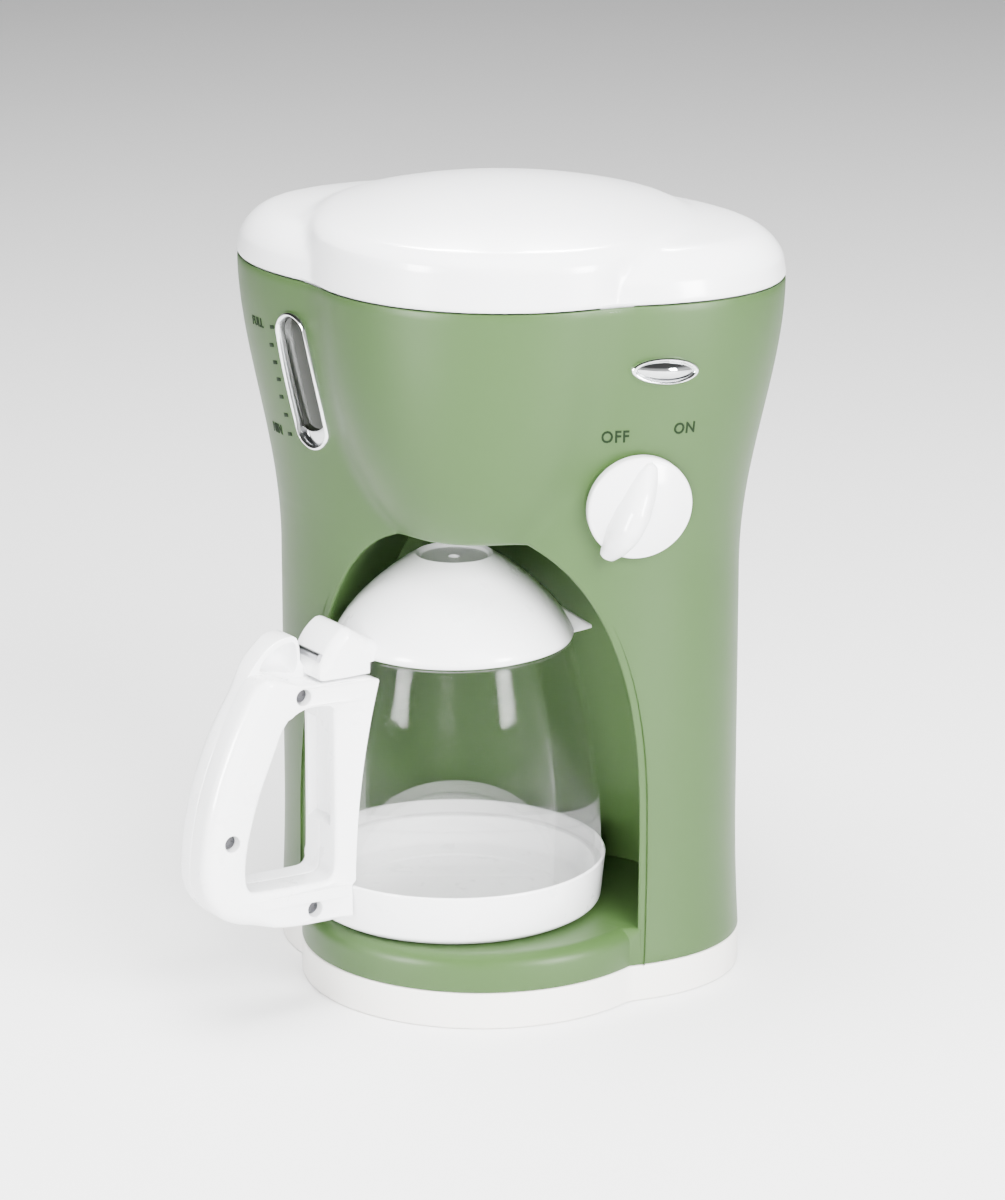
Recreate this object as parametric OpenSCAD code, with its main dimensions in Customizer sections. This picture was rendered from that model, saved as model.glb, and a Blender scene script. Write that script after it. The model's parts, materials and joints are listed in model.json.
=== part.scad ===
// Toy coffee maker: a three-lobed waisted housing with a hinged lid, a round
// brew recess, a carafe with its own hinged lid, a turning switch knob and a
// battery box in the back. Millimetres, +Z up, front towards -Y, standing on
// z = 0. The origin is under the middle of the housing's main ellipse.

/* [Housing] */
// Height of the housing's top rim, where the lid sits
seam_z = 210; // [200:1:225]
// Half width of the housing at the waist
waist_half_w = 70; // [68:0.5:74]
// Half depth of the housing at the waist
waist_half_d = 50; // [49:0.5:54]
// How much wider the half width is at the top rim than at the waist
top_flare_w = 12.8; // [9:0.2:15]
// How much deeper the half depth is at the top rim than at the waist
top_flare_d = 5.5; // [4:0.25:8]
// Height where the sides start to flare towards the top
flare_start_z = 122; // [110:1:135]
// How much the half width and half depth grow at the foot
foot_flare = 2; // [1:0.25:3]
// Height where the foot's flare ends
foot_flare_z = 50; // [40:1:60]
// Wall thickness of the housing shells
wall = 2.4; // [2:0.1:2.8]
// Depth behind the middle where the front and rear shells part
seam_y = 28; // [27.5:0.5:31]

/* [Front lobe] */
// Radius of the front lobe at the top rim
lobe_top_r = 62; // [58:0.5:64]
// Front face of the lobe at the top rim, ahead of the middle
lobe_top_front = 69; // [67:0.5:72]
// Height of the lip under the brew head
lip_z = 137.5; // [134:0.5:142]
// Radius of the brew head at its lip
lip_r = 21.5; // [19:0.5:24]
// Front face of the brew head at its lip, ahead of the middle
lip_front = 55; // [54:0.5:58]
// Radius of the round platform in front
platform_r = 53.7; // [53:0.1:56]
// Centre of the round platform, ahead of the middle
platform_y = 21.3; // [20:0.1:23]
// Height of the platform's top
platform_z = 22.4; // [21:0.2:25]
// Rounding of the platform's top edge
platform_round = 4.5; // [3:0.5:6]

/* [Brew recess] */
// Gap between the carafe's right side and the side of the arched recess
recess_gap = 1.2; // [0.9:0.1:2]
// Height where the arch starts to curve in
arch_spring_z = 60; // [50:1:75]
// Height of the full arch above its springing, before the flat ceiling cuts it
arch_rise = 90; // [86:1:100]
// Depth of the recess behind the middle
recess_back = 24; // [22:0.5:25]
// Radius of the recess's two rear corners
recess_corner_r = 30; // [24:1:34]

/* [Base] */
// Height of the top of the white base moulding
base_h = 11.2; // [10:0.2:13]
// Height of the rubber feet
foot_h = 1.2; // [1:0.1:2]
// Radius of a rubber foot
foot_r = 7; // [5:0.5:8]
// Floor thickness of the base moulding
base_floor = 2.2; // [1.8:0.1:2.6]
// Radius of the heads of the base screws and the rear screws
screw_head_r = 2.8; // [2.4:0.1:3.2]
// Radius of the shanks of the base screws and the rear screws
screw_r = 1.4; // [1.2:0.1:1.6]

/* [Lid] */
// Rise of the lid's round middle dome above the rim
dome_rise = 24.9; // [22:0.5:32]
// Rise of the lid's two side lobes above the rim
side_rise = 19.9; // [16:0.5:24]
// Height of the upright wall round the middle dome
dome_wall_h = 9; // [6:0.5:11]
// Height of the upright wall round the side lobes
side_wall_h = 2; // [1:0.5:4]
// Rounding between the wall and the crown of the middle dome
dome_round = 6; // [4:0.5:8]
// Rounding between the wall and the crown of the side lobes
side_round = 11; // [8:0.5:13]
// Gap between the lid and the housing's rim
lid_gap = 0.4; // [0.3:0.05:0.8]
// Wall thickness of the lid
lid_wall = 2.2; // [1.8:0.1:2.6]
// Radius of the lid's hinge pin
hinge_pin_r = 1.5; // [1.2:0.1:1.8]
// Outer radius of the lid's hinge knuckles
knuckle_r = 3.4; // [3.2:0.1:3.8]
// Half length of the lid's middle knuckle
knuckle_half_l = 9; // [7:0.5:11]
// Length of each outer knuckle on the rear shell
outer_knuckle_l = 6; // [5:0.5:8]

/* [Reservoir] */
// Depth of the deck under the housing's top rim
deck_drop = 4; // [3:0.5:6]
// Thickness of the deck
deck_t = 2; // [1.6:0.1:2.4]
// Height of the reservoir's bottom
tank_z = 146; // [145:0.5:150]
// Wall thickness of the reservoir
tank_wall = 1.6; // [1.4:0.1:2]
// Right side of the reservoir, right of the middle
tank_right = 24; // [18:1:26]
// Radius of the outlet nozzle's bore
outlet_bore_r = 1.6; // [1.4:0.1:2]

/* [Level window] */
// Place of the level window left of the middle
window_x = 46; // [44:0.5:48]
// Height of the level window's middle
window_z = 180; // [176:0.5:184]
// Overall length of the window's chrome bezel
window_l = 41; // [38:0.5:44]
// Overall width of the window's chrome bezel
window_w = 11.5; // [10.5:0.1:12.5]
// Width of the bezel's rim
bezel_rim = 1.7; // [1.4:0.1:2]
// Lean of the window to the left at its top, in degrees
window_lean = 9; // [5:1:12]

/* [Indicator] */
// Place of the eye-shaped indicator right of the middle
eye_x = 61.5; // [60:0.5:63]
// Height of the eye-shaped indicator
eye_z = 191.4; // [189:0.2:194]
// Length of the indicator's chrome bezel
eye_l = 18.5; // [17:0.5:20]
// Height of the indicator's chrome bezel
eye_h = 7.6; // [7:0.2:8.4]

/* [Knob] */
// Place of the knob right of the middle
knob_x = 52.8; // [51:0.2:54]
// Height of the knob's middle
knob_z = 151.6; // [150:0.2:154]
// Radius of the knob
knob_r = 16.3; // [15:0.1:17.5]
// Thickness of the knob's disc at its rim
knob_rim_t = 4; // [3:0.25:5]
// Height of the knob's domed face
knob_t = 7.5; // [6.5:0.25:9]
// Height of the grip ridge above the knob's dome
ridge_h = 4.5; // [3.5:0.25:6]
// Radius of the knob's shaft
shaft_r = 3; // [2.5:0.1:3.5]
// Turn of the knob's ridge from upright at rest, clockwise from outside
knob_rest_turn = 32; // [28:1:36]

/* [Carafe] */
// Place of the carafe's axis, left of the middle
carafe_x = 6; // [5:0.2:6.3]
// Place of the carafe's axis, ahead of the middle
carafe_y = 27.8; // [27:0.2:29]
// Outer radius of the carafe's collar at its top
collar_r = 44.4; // [43.6:0.1:44.6]
// Height of the collar
collar_h = 15.6; // [14:0.2:17]
// Wall thickness of the collar
collar_wall = 2; // [1.8:0.1:2.4]
// Height of the carafe's glass rim above the table
glass_rim_z = 103.6; // [100:0.2:106]
// Outer radius of the glass at its rim
glass_rim_r = 34; // [33:0.1:35]
// Wall thickness of the glass
glass_wall = 1.8; // [1.5:0.1:2.2]
// Rise of the carafe lid's dome above the glass rim
pot_lid_rise = 27; // [24:0.5:29]
// Gap under the carafe, and between the carafe's moving pieces
carafe_gap = 0.4; // [0.3:0.05:0.6]
// Direction of the spout, in degrees left of the carafe's right side
spout_turn = 30; // [24:1:36]

/* [Handle] */
// Direction of the handle, in degrees ahead of the carafe's left side
handle_turn = 55; // [50:1:58]
// Thickness of the handle, both halves together
handle_t = 15; // [13:0.5:17]
// Reach of the handle from the carafe's axis
handle_reach = 92; // [88:0.5:96]
// Height of the handle's underside
handle_foot_z = 28; // [27:0.2:30]
// Height of the top of the handle's grip
handle_top_z = 115; // [112:0.5:118]
// Width of the grip's bar
grip_w = 14; // [12:0.5:16]
// Radius of the heads of the handle's screws
handle_screw_head_r = 2.2; // [1.9:0.1:2.5]
// Radius of the shanks of the handle's screws
handle_screw_r = 1.2; // [1:0.1:1.4]
// Radius of the carafe lid's hinge pin
pot_pin_r = 1.2; // [1:0.1:1.5]

/* [Battery box] */
// Radius of a battery cell
cell_r = 7.1; // [6.9:0.05:7.25]
// Length of a battery cell
cell_l = 50; // [48:0.25:50.5]
// Height of the battery box's bottom
box_z = 28; // [26:0.5:34]
// Thickness of the battery door
door_t = 2.2; // [1.8:0.1:2.6]
// Gap round the battery door
door_gap = 0.35; // [0.3:0.05:0.5]

/* [Fits] */
// Radial clearance of a pin or shaft that turns in its bore
run_fit = 0.05; // [0.03:0.01:0.1]
// Clearance of a piece in its seat
seat_fit = 0.2; // [0.15:0.05:0.3]

/* [Hidden] */
$fn = 64;

green = [0.60, 0.69, 0.55];
white = [0.93, 0.93, 0.92];
chrome = [0.75, 0.76, 0.78];
dark = [0.15, 0.16, 0.16];
clear = [0.8, 0.88, 0.9, 0.4];

eps = 0.01;
front_steps = 64;
rear_steps = 32;
lid_steps = 72;
rib_h = 3;

// ---- outline of the housing at a height ----

// Smooth rise from 0 to 1
function smooth(t) = t <= 0 ? 0 : t >= 1 ? 1 : t * t * (3 - 2 * t);
function flare(z) = pow(smooth((z - flare_start_z) / (seam_z - flare_start_z)), 1.15);
function foot(z) = z >= foot_flare_z ? 0 : foot_flare * pow(1 - z / foot_flare_z, 2);
function half_w(z) = waist_half_w + top_flare_w * flare(z) + foot(z);
function half_d(z) = waist_half_d + top_flare_d * flare(z) + foot(z);

// Brew head: a circle that shrinks and draws back towards its lip
function head_t(z) = max(0, min(1, (z - lip_z) / (seam_z - lip_z)));
function head_r(z) = lip_r + (lobe_top_r - lip_r) * pow(head_t(z), 0.7);
function head_front(z) =
  lip_front + (lobe_top_front - lip_front) * (1 - pow(1 - head_t(z), 3.5));
function head_y(z) = head_front(z) - head_r(z);

// Distance from the middle to an ellipse, and to a circle ahead of it, at angle t
function ellipse_ray(t, a, b) = 1 / sqrt(pow(cos(t) / a, 2) + pow(sin(t) / b, 2));
function circle_ray(t, r, c) =
  let (q = r * r - pow(c * cos(t), 2)) q <= 0 ? 0 : -c * sin(t) + sqrt(q);
// The larger of two rays, with the crease between them filled softly
function soft_max(p, q, k) =
  let (h = max(0, k - abs(p - q)) / k) max(p, q) + h * h * k / 4;
crease_soft = 3;
function main_ray(t, z, g) = ellipse_ray(t, half_w(z) + g, half_d(z) + g);
function head_ray(t, z, g) =
  z < lip_z || sin(t) > 0 ? 0 : circle_ray(t, head_r(z) + g, head_y(z));
function body_point(t, z, g) =
  let (r = soft_max(main_ray(t, z, g), head_ray(t, z, g), crease_soft))
  [r * cos(t), r * sin(t), z];
// Angle at which the main ellipse meets the plane y
function seam_angle(z, y, g) =
  let (b = half_d(z) + g) atan2(y, (half_w(z) + g) * sqrt(1 - pow(y / b, 2)));

// Closed solid through rings of points, bottom to top, with flat ends
module loft(rings) {
  n = len(rings[0]);
  m = len(rings);
  points = [for (ring = rings, p = ring) p];
  sides = [
    for (j = [0:m - 2], i = [0:n - 1])
      let (a = j * n + i, b = j * n + (i + 1) % n) each [[a, a + n, b], [b, a + n, b + n]]
  ];
  polyhedron(
    points = points,
    faces = concat(
      sides,
      [[for (i = [0:n - 1]) i]],
      [[for (i = [n - 1:-1:0]) (m - 1) * n + i]]
    ),
    convexity = 6
  );
}

// Heights of the rings: close together where the housing curves most
lip_step = 0.15;
outer_z = [
  base_h, 24, 40, 70, 105, lip_z - 10, lip_z - lip_step, lip_z, lip_z + 1.5, lip_z + 4,
  lip_z + 9, lip_z + 17, lip_z + 27, lip_z + 39, lip_z + 52, seam_z
];
inner_z = [
  base_h - 1, 40, 90, 122, lip_z + wall - lip_step, lip_z + wall, lip_z + 8, lip_z + 18,
  lip_z + 34, lip_z + 50, seam_z + 1
];
function front_ring(z, g, y) =
  let (a = seam_angle(z, y, g))
  [for (i = [0:front_steps]) body_point(-180 - a + (180 + 2 * a) * i / front_steps, z, g)];
function rear_ring(z, g, y) =
  let (a = seam_angle(z, y, g))
  [
    for (i = [0:rear_steps])
      let (t = a + (180 - 2 * a) * i / rear_steps, r = main_ray(t, z, g))
      [r * cos(t), r * sin(t), z]
  ];

// Plain outlines of the base, which the shells stand on
module ellipse_2d(a, b) {
  polygon([for (i = [0:71]) [a * cos(5 * i), b * sin(5 * i)]]);
}
module base_2d(g) {
  ellipse_2d(half_w(base_h) + g, half_d(base_h) + g);
  translate([0, -platform_y]) circle(platform_r + g);
}

// ---- places on the wings ----

function wing_y(x, z) = -half_d(z) * sqrt(1 - pow(x / half_w(z), 2));
// Outward normal of the main ellipse at x and height z, by small differences
function wing_normal(x, z) =
  let (
    h = 0.5,
    y = wing_y(x, z),
    nx = x / pow(half_w(z), 2),
    ny = y / pow(half_d(z), 2),
    up = (wing_y(x, z + h) - wing_y(x, z - h)) / (2 * h),
    n = [nx, ny, -ny * up]
  )
  n / norm(n);
// Puts its children on the wing, with local +Z outwards and local +Y upwards
module on_wing(x, z) {
  n = wing_normal(x, z);
  u = cross([0, 0, 1], n) / norm(cross([0, 0, 1], n));
  v = cross(n, u);
  multmatrix([
    [u[0], v[0], n[0], x],
    [u[1], v[1], n[1], wing_y(x, z)],
    [u[2], v[2], n[2], z],
    [0, 0, 0, 1]
  ]) children();
}

module stadium_2d(l, w) {
  square([w, l - w], center = true);
  for (side = [-1, 1]) translate([0, side * (l - w) / 2]) circle(w / 2);
}
function arc_radius(l, h) = (l * l / 4 + h * h / 4) / h;
module eye_2d(l, h) {
  r = arc_radius(l, h);
  intersection() {
    translate([0, h / 2 - r]) circle(r, $fn = 96);
    translate([0, r - h / 2]) circle(r, $fn = 96);
  }
}
module at_window() {
  on_wing(-window_x, window_z) rotate(window_lean) children();
}
module at_eye() {
  on_wing(eye_x, eye_z) rotate(-4) children();
}
module at_knob() {
  on_wing(knob_x, knob_z) children();
}

// ---- housing ----

ceiling_z = lip_z;
recess_half_w = carafe_x + collar_r + recess_gap;
function arch_x(z, g) =
  z <= arch_spring_z
    ? recess_half_w + g
    : (recess_half_w + g) * sqrt(max(0, 1 - pow((z - arch_spring_z) / (arch_rise + g), 2)));
arch_steps = 14;
// Front view of the recess, grown by g, from height z0 to height z1
module arch_2d(g, z0, z1) {
  side = [
    for (i = [0:arch_steps])
      let (z = arch_spring_z + (z1 - arch_spring_z) * i / arch_steps) [arch_x(z, g), z]
  ];
  polygon(concat(
    [[-arch_x(z0, g), z0], [arch_x(z0, g), z0]],
    side,
    [for (i = [arch_steps:-1:0]) [-side[i][0], side[i][1]]]
  ));
}
// Plan of the recess, grown by g: straight sides and a back with round corners
module recess_plan_2d(g) {
  half = recess_half_w + g;
  r = recess_corner_r + g;
  corner_x = recess_half_w - recess_corner_r;
  corner_y = recess_back - recess_corner_r;
  translate([-half, -2 * platform_r]) square([2 * half, 2 * platform_r + corner_y]);
  translate([-corner_x, corner_y - eps]) square([2 * corner_x, r + eps]);
  for (side = [-1, 1]) translate([side * corner_x, corner_y]) circle(r);
}
module recess_space(g, z0, z1) {
  intersection() {
    translate([0, recess_back + 3 * g + 1, 0])
      rotate([90, 0, 0])
        linear_extrude(3 * platform_r) arch_2d(g, z0, z1);
    translate([0, 0, z0 - 1]) linear_extrude(z1 - z0 + 2) recess_plan_2d(g);
  }
}
// Round platform with its top edge rounded
module platform_solid() {
  translate([0, -platform_y, base_h])
    rotate_extrude() {
      h = platform_z - base_h;
      square([platform_r - platform_round, h]);
      square([platform_r, h - platform_round]);
      translate([platform_r - platform_round, h - platform_round]) circle(platform_round);
    }
}
module platform_inside() {
  translate([0, -platform_y, base_h - 1])
    cylinder(r = platform_r - wall, h = platform_z - base_h - wall + 1);
}

// Outlines of the two chrome bezels, drawn in by an inset
module window_2d(inset) {
  stadium_2d(window_l - 2 * inset, window_w - 2 * inset);
}
module indicator_2d(inset) {
  eye_2d(eye_l - 4 * inset, eye_h - 2 * inset);
}
// How deep the bezels sink into the curved wing, and how far in their tongues are
window_sink = 0.4;
eye_sink = 0.8;
tongue_inset = 1.5;
bezel_proud = 1.6;
tongue_l = 4;

nozzle_x = -carafe_x;
nozzle_y = -carafe_y;
nozzle_flange_r = 7;
nozzle_r = 4.6;
nozzle_drop = 1.5;
post_r = 3;
board_depth = 16;
board_t = 1.6;
board_w = 24;
board_low = -14;
board_high = 48;
board_post_y = [-9, 27];
knob_pad_h = 0.8;
rear_screw_x = 44;
rear_screw_z = [40, 124];
screw_l = 10;
screw_grip = 7;
front_y = -platform_y - platform_r;
side_post = [waist_half_w - 14, 4];
front_post = [16, front_y + 13];
base_screw_places = [for (side = [-1, 1], p = [side_post, front_post]) [side * p[0], p[1]]];

// Posts inside the wing that carry the circuit board
module board_posts() {
  at_knob()
    for (y = board_post_y)
      translate([8, y, -board_depth + board_t]) cylinder(r = post_r, h = board_depth - wall);
}

// Posts that take the rear screws; the recess cuts off what would show in it
module rear_posts() {
  for (side = [-1, 1], z = rear_screw_z)
    let (y = wing_y(rear_screw_x + post_r + 1, z) + wall / 2)
      translate([side * rear_screw_x, y, z])
        rotate([-90, 0, 0]) cylinder(r = post_r + 1, h = seam_y - y);
}
// Bosses over the base screws
module base_posts() {
  for (p = base_screw_places)
    translate([p[0], p[1], base_h]) cylinder(r = post_r + 0.5, h = platform_z - base_h);
}
// Flat round pad that the knob turns on
module knob_pad() {
  at_knob() translate([0, 0, -wall]) cylinder(r = knob_r - 1.5, h = wall + knob_pad_h);
}

module front_shell() {
  color(green)
    difference() {
      union() {
        difference() {
          union() {
            loft([for (z = outer_z) front_ring(z, 0, seam_y)]);
            platform_solid();
            knob_pad();
          }
          difference() {
            union() {
              loft([for (z = inner_z) front_ring(z, -wall, seam_y + 2)]);
              platform_inside();
            }
            recess_space(wall, platform_z - wall, ceiling_z + wall);
          }
        }
        board_posts();
        rear_posts();
        base_posts();
      }
      recess_space(0, platform_z, ceiling_z);
      // the round platform ends at the seam
      translate([-platform_r, seam_y, 0]) cube([2 * platform_r, platform_r, platform_z]);
      for (p = base_screw_places)
        translate([p[0], p[1], base_h - 1]) cylinder(r = screw_r + run_fit, h = screw_l);
      for (side = [-1, 1], z = rear_screw_z)
        translate([side * rear_screw_x, seam_y + 1, z])
          rotate([90, 0, 0]) cylinder(r = screw_r + run_fit, h = screw_grip + 1.5);
      translate([nozzle_x, nozzle_y, ceiling_z - 1])
        cylinder(r = nozzle_r + seat_fit, h = wall + 2);
      at_knob() translate([0, 0, -2 * wall]) cylinder(r = shaft_r + 0.3, h = 4 * wall);
      at_window() {
        translate([0, 0, -2 * wall - 1]) linear_extrude(4 * wall) window_2d(tongue_inset - seat_fit);
        translate([0, 0, -window_sink]) linear_extrude(4 * wall) window_2d(-seat_fit);
      }
      at_eye() {
        translate([0, 0, -2 * wall]) linear_extrude(4 * wall) indicator_2d(tongue_inset - seat_fit);
        translate([0, 0, -eye_sink]) linear_extrude(4 * wall) indicator_2d(-seat_fit);
      }
    }
}

// Lid hinge, behind the rear rim
hinge_y = half_d(seam_z) + knuckle_r + 0.5;
hinge_z = seam_z + lid_gap + 0.6;
knuckle_gap = 0.4;
outer_knuckle_x = knuckle_half_l + knuckle_gap;
pin_half_l = outer_knuckle_x + outer_knuckle_l;

// Raised flat pad round the battery door
pad_half_w = cell_r * 2 + 11;
pad_face_y = half_d(box_z + cell_l / 2) + 0.4;
box_h = cell_l + 12;
pad_z0 = box_z - 6;
door_z0 = box_z - 1;
door_z1 = box_z + box_h + 10;
pad_z1 = door_z1 + 5;
door_half_w = pad_half_w - 4;
door_screw_z = door_z1 - 5;
function rear_y(x, z) = half_d(z) * sqrt(1 - pow(x / half_w(z), 2));

module rear_shell() {
  color(green)
    difference() {
      union() {
        difference() {
          union() {
            loft([for (z = [base_h, 30, 50, 85, 122, 140, 155, 170, 185, 198, seam_z])
              rear_ring(z, 0, seam_y)]);
            translate([-pad_half_w, pad_face_y - 12, pad_z0])
              cube([2 * pad_half_w, 12, pad_z1 - pad_z0]);
            for (side = [-1, 1])
              translate([side * (outer_knuckle_x + outer_knuckle_l / 2), hinge_y, hinge_z])
                outer_knuckle();
          }
          difference() {
            loft([for (z = [base_h - 1, 45, 90, 122, 145, 165, 185, seam_z + 1])
              rear_ring(z, -wall, seam_y - 2)]);
            translate([-pad_half_w, pad_face_y - 12, pad_z0])
              cube([2 * pad_half_w, 20, pad_z1 - pad_z0]);
          }
        }
        for (side = [-1, 1], z = rear_screw_z)
          translate([side * rear_screw_x, seam_y, z])
            rotate([-90, 0, 0])
              cylinder(r = post_r + 1, h = rear_y(rear_screw_x, z) - seam_y - wall / 2);
      }
      // seat of the door, then the way through to the cells
      translate([-door_half_w, pad_face_y - door_t, door_z0])
        cube([2 * door_half_w, door_t + 10, door_z1 - door_z0]);
      translate([-door_half_w + 3, pad_face_y - 14, box_z + box_wall])
        cube([2 * door_half_w - 6, 14, box_h - 2 * box_wall]);
      translate([0, pad_face_y - 13, door_screw_z])
        rotate([-90, 0, 0]) cylinder(r = screw_r + 0.3, h = 14);
      for (side = [-1, 1], z = rear_screw_z)
        translate([side * rear_screw_x, 0, z])
          rotate([-90, 0, 0]) {
            translate([0, 0, seam_y - 1]) cylinder(r = screw_r + 0.1, h = 60);
            translate([0, 0, rear_y(rear_screw_x, z) - 5])
              cylinder(r = screw_head_r + 0.4, h = 20);
          }
      translate([0, hinge_y, hinge_z])
        rotate([0, 90, 0])
          cylinder(r = hinge_pin_r + run_fit, h = 4 * pin_half_l, center = true);
    }
}

module outer_knuckle() {
  rotate([0, 90, 0]) cylinder(r = knuckle_r, h = outer_knuckle_l, center = true);
  translate([-outer_knuckle_l / 2, -knuckle_r - 2.4, -11])
    cube([outer_knuckle_l, knuckle_r + 2.4 + 1.6, 11 - 1.2]);
}

// ---- base ----

rear_foot = [44, 26];
front_foot = [30, front_y + 25];
foot_places = [for (side = [-1, 1], p = [rear_foot, front_foot]) [side * p[0], p[1]]];
speaker_r = 15;
speaker_h = 6;
magnet_r = speaker_r * 0.6;
speaker_y = -26;
sound_hole_r = 1.3;
sound_hole_step = 4.5;
plinth_z = foot_h;

module base_plinth() {
  color(white)
    difference() {
      union() {
        difference() {
          linear_extrude(base_h) base_2d(0);
          translate([0, 0, plinth_z + base_floor]) linear_extrude(base_h) base_2d(-wall);
          // sunk underside, so that the rim and the feet meet the table
          translate([0, 0, -1]) linear_extrude(plinth_z + 1) base_2d(-wall);
        }
        // lip that the shells slip over
        translate([0, 0, plinth_z + base_floor])
          linear_extrude(base_h + rib_h - plinth_z - base_floor)
            difference() {
              base_2d(-wall - seat_fit);
              base_2d(-2 * wall);
            }
        for (p = base_screw_places)
          translate([p[0], p[1], plinth_z])
            cylinder(r = screw_head_r + 2, h = base_h - plinth_z);
        translate([0, speaker_y, plinth_z + base_floor])
          difference() {
            cylinder(r = speaker_r + 2, h = speaker_h - 1);
            translate([0, 0, -1]) cylinder(r = speaker_r + seat_fit, h = speaker_h + 1);
          }
      }
      for (p = base_screw_places)
        translate([p[0], p[1], 0]) {
          cylinder(r = screw_r + 0.1, h = base_h + 1);
          cylinder(r = screw_head_r + 0.4, h = plinth_z + 4);
        }
      for (p = foot_places)
        translate([p[0], p[1], plinth_z - 1]) cylinder(r = foot_r + seat_fit, h = 2);
      for (ring = [0:2], i = [0:max(0, 6 * ring - 1)])
        rotate_about(0, speaker_y, ring == 0 ? 0 : 60 * i / ring)
          translate([sound_hole_step * ring, 0, 0]) cylinder(r = sound_hole_r, h = base_h);
    }
}
module rotate_about(x, y, a) {
  translate([x, y, 0]) rotate(a) children();
}

module rubber_feet() {
  color(dark)
    for (p = foot_places)
      translate([p[0], p[1], 0]) {
        cylinder(r1 = foot_r - 0.6, r2 = foot_r, h = 0.6);
        translate([0, 0, 0.6]) cylinder(r = foot_r, h = foot_h + 1 - 0.6);
      }
}

module base_screws() {
  color(chrome)
    for (p = base_screw_places)
      translate([p[0], p[1], plinth_z + 1.8]) {
        difference() {
          cylinder(r = screw_head_r, h = 2.2);
          cross_slot(screw_head_r);
        }
        cylinder(r = screw_r, h = base_h - plinth_z - 1.8 + screw_grip);
      }
}
// Cross recess in a screw head, opening at z = 0
module cross_slot(r) {
  for (a = [0, 90])
    rotate(a) translate([-r * 0.62, -0.4, -1]) cube([1.24 * r, 0.8, 1.9]);
}

module rear_screws() {
  color(chrome)
    for (side = [-1, 1], z = rear_screw_z)
      translate([side * rear_screw_x, rear_y(rear_screw_x, z) - 3, z])
        rotate([90, 0, 0]) {
          difference() {
            cylinder(r = screw_head_r, h = 2);
            cross_slot(screw_head_r);
          }
          cylinder(r = screw_r, h = rear_y(rear_screw_x, z) - 3 - seam_y + screw_grip);
        }
}

// ---- inside the top ----

deck_top = seam_z - deck_drop;
deck_z = deck_top - deck_t;
tank_clear = 6;
tank_a = half_w(tank_z) - wall - tank_clear;
tank_b = half_d(tank_z) - wall - tank_clear;

deck_gap = 0.6;
module deck_outline_2d(g) {
  a = half_w(deck_z) - wall + g;
  b = half_d(deck_z) - wall + g;
  ellipse_2d(a, b);
  // the front lobe, which ends at the middle of the housing
  intersection() {
    translate([0, -head_y(deck_z)]) circle(head_r(deck_z) - wall + g);
    translate([-2 * lobe_top_r, -4 * lobe_top_r]) square(4 * lobe_top_r);
  }
}
module tank_2d(g) {
  intersection() {
    ellipse_2d(tank_a + g, tank_b + g);
    translate([-2 * tank_a, -2 * tank_a]) square([2 * tank_a + tank_right + g, 4 * tank_a]);
  }
}
// Opening in the deck for filling the reservoir
module fill_hole_2d(g) {
  translate([-18, 0]) ellipse_2d(34 + g, 24 + g);
}

module top_deck() {
  color(white) {
    translate([0, 0, deck_z])
      linear_extrude(deck_t)
        difference() {
          deck_outline_2d(-deck_gap);
          fill_hole_2d(0);
        }
    translate([0, 0, deck_top])
      linear_extrude(1.4)
        difference() {
          fill_hole_2d(2);
          fill_hole_2d(0);
        }
  }
}

module water_tank() {
  color(white)
    difference() {
      union() {
        translate([0, 0, tank_z]) linear_extrude(deck_z - tank_z) tank_2d(0);
        translate([nozzle_x, nozzle_y, ceiling_z + wall + 2])
          cylinder(r = nozzle_r - 1, h = tank_z - ceiling_z - wall);
      }
      translate([0, 0, tank_z + tank_wall]) linear_extrude(deck_z) tank_2d(-tank_wall);
      translate([nozzle_x, nozzle_y, ceiling_z])
        cylinder(r = outlet_bore_r, h = tank_z);
    }
}

module outlet_nozzle() {
  color(white)
    translate([nozzle_x, nozzle_y, 0])
      difference() {
        union() {
          translate([0, 0, ceiling_z - nozzle_drop])
            cylinder(r1 = nozzle_r - 0.8, r2 = nozzle_r, h = nozzle_drop);
          translate([0, 0, ceiling_z]) cylinder(r = nozzle_r, h = wall + 2);
          translate([0, 0, ceiling_z + wall]) cylinder(r = nozzle_flange_r, h = 2);
        }
        translate([0, 0, ceiling_z - 4]) cylinder(r = outlet_bore_r, h = 12);
      }
}

// ---- level window and indicator ----

// Chrome bezel: a flange sunk into the wing, a bevelled face and a tongue behind
module window_bezel() {
  color(chrome)
    at_window()
      difference() {
        union() {
          translate([0, 0, -window_sink]) linear_extrude(window_sink + bezel_proud - 0.5) window_2d(0);
          translate([0, 0, bezel_proud - 0.5]) linear_extrude(0.5) window_2d(0.4);
          translate([0, 0, -tongue_l]) linear_extrude(tongue_l) window_2d(tongue_inset);
        }
        translate([0, 0, -tongue_l - 1])
          linear_extrude(tongue_l + bezel_proud + 2) window_2d(bezel_rim + 0.8);
      }
}
module window_lens() {
  color(clear)
    at_window()
      translate([0, 0, -2]) linear_extrude(1.4) window_2d(bezel_rim + 0.8 + seat_fit / 2);
}
gauge_depth = 5;
module gauge_channel() {
  color(dark)
    at_window()
      translate([0, 0, -tongue_l - gauge_depth])
        difference() {
          linear_extrude(gauge_depth - 0.1) window_2d(tongue_inset);
          translate([0, 0, 1.2]) linear_extrude(gauge_depth) window_2d(bezel_rim + 1);
        }
}
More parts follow.
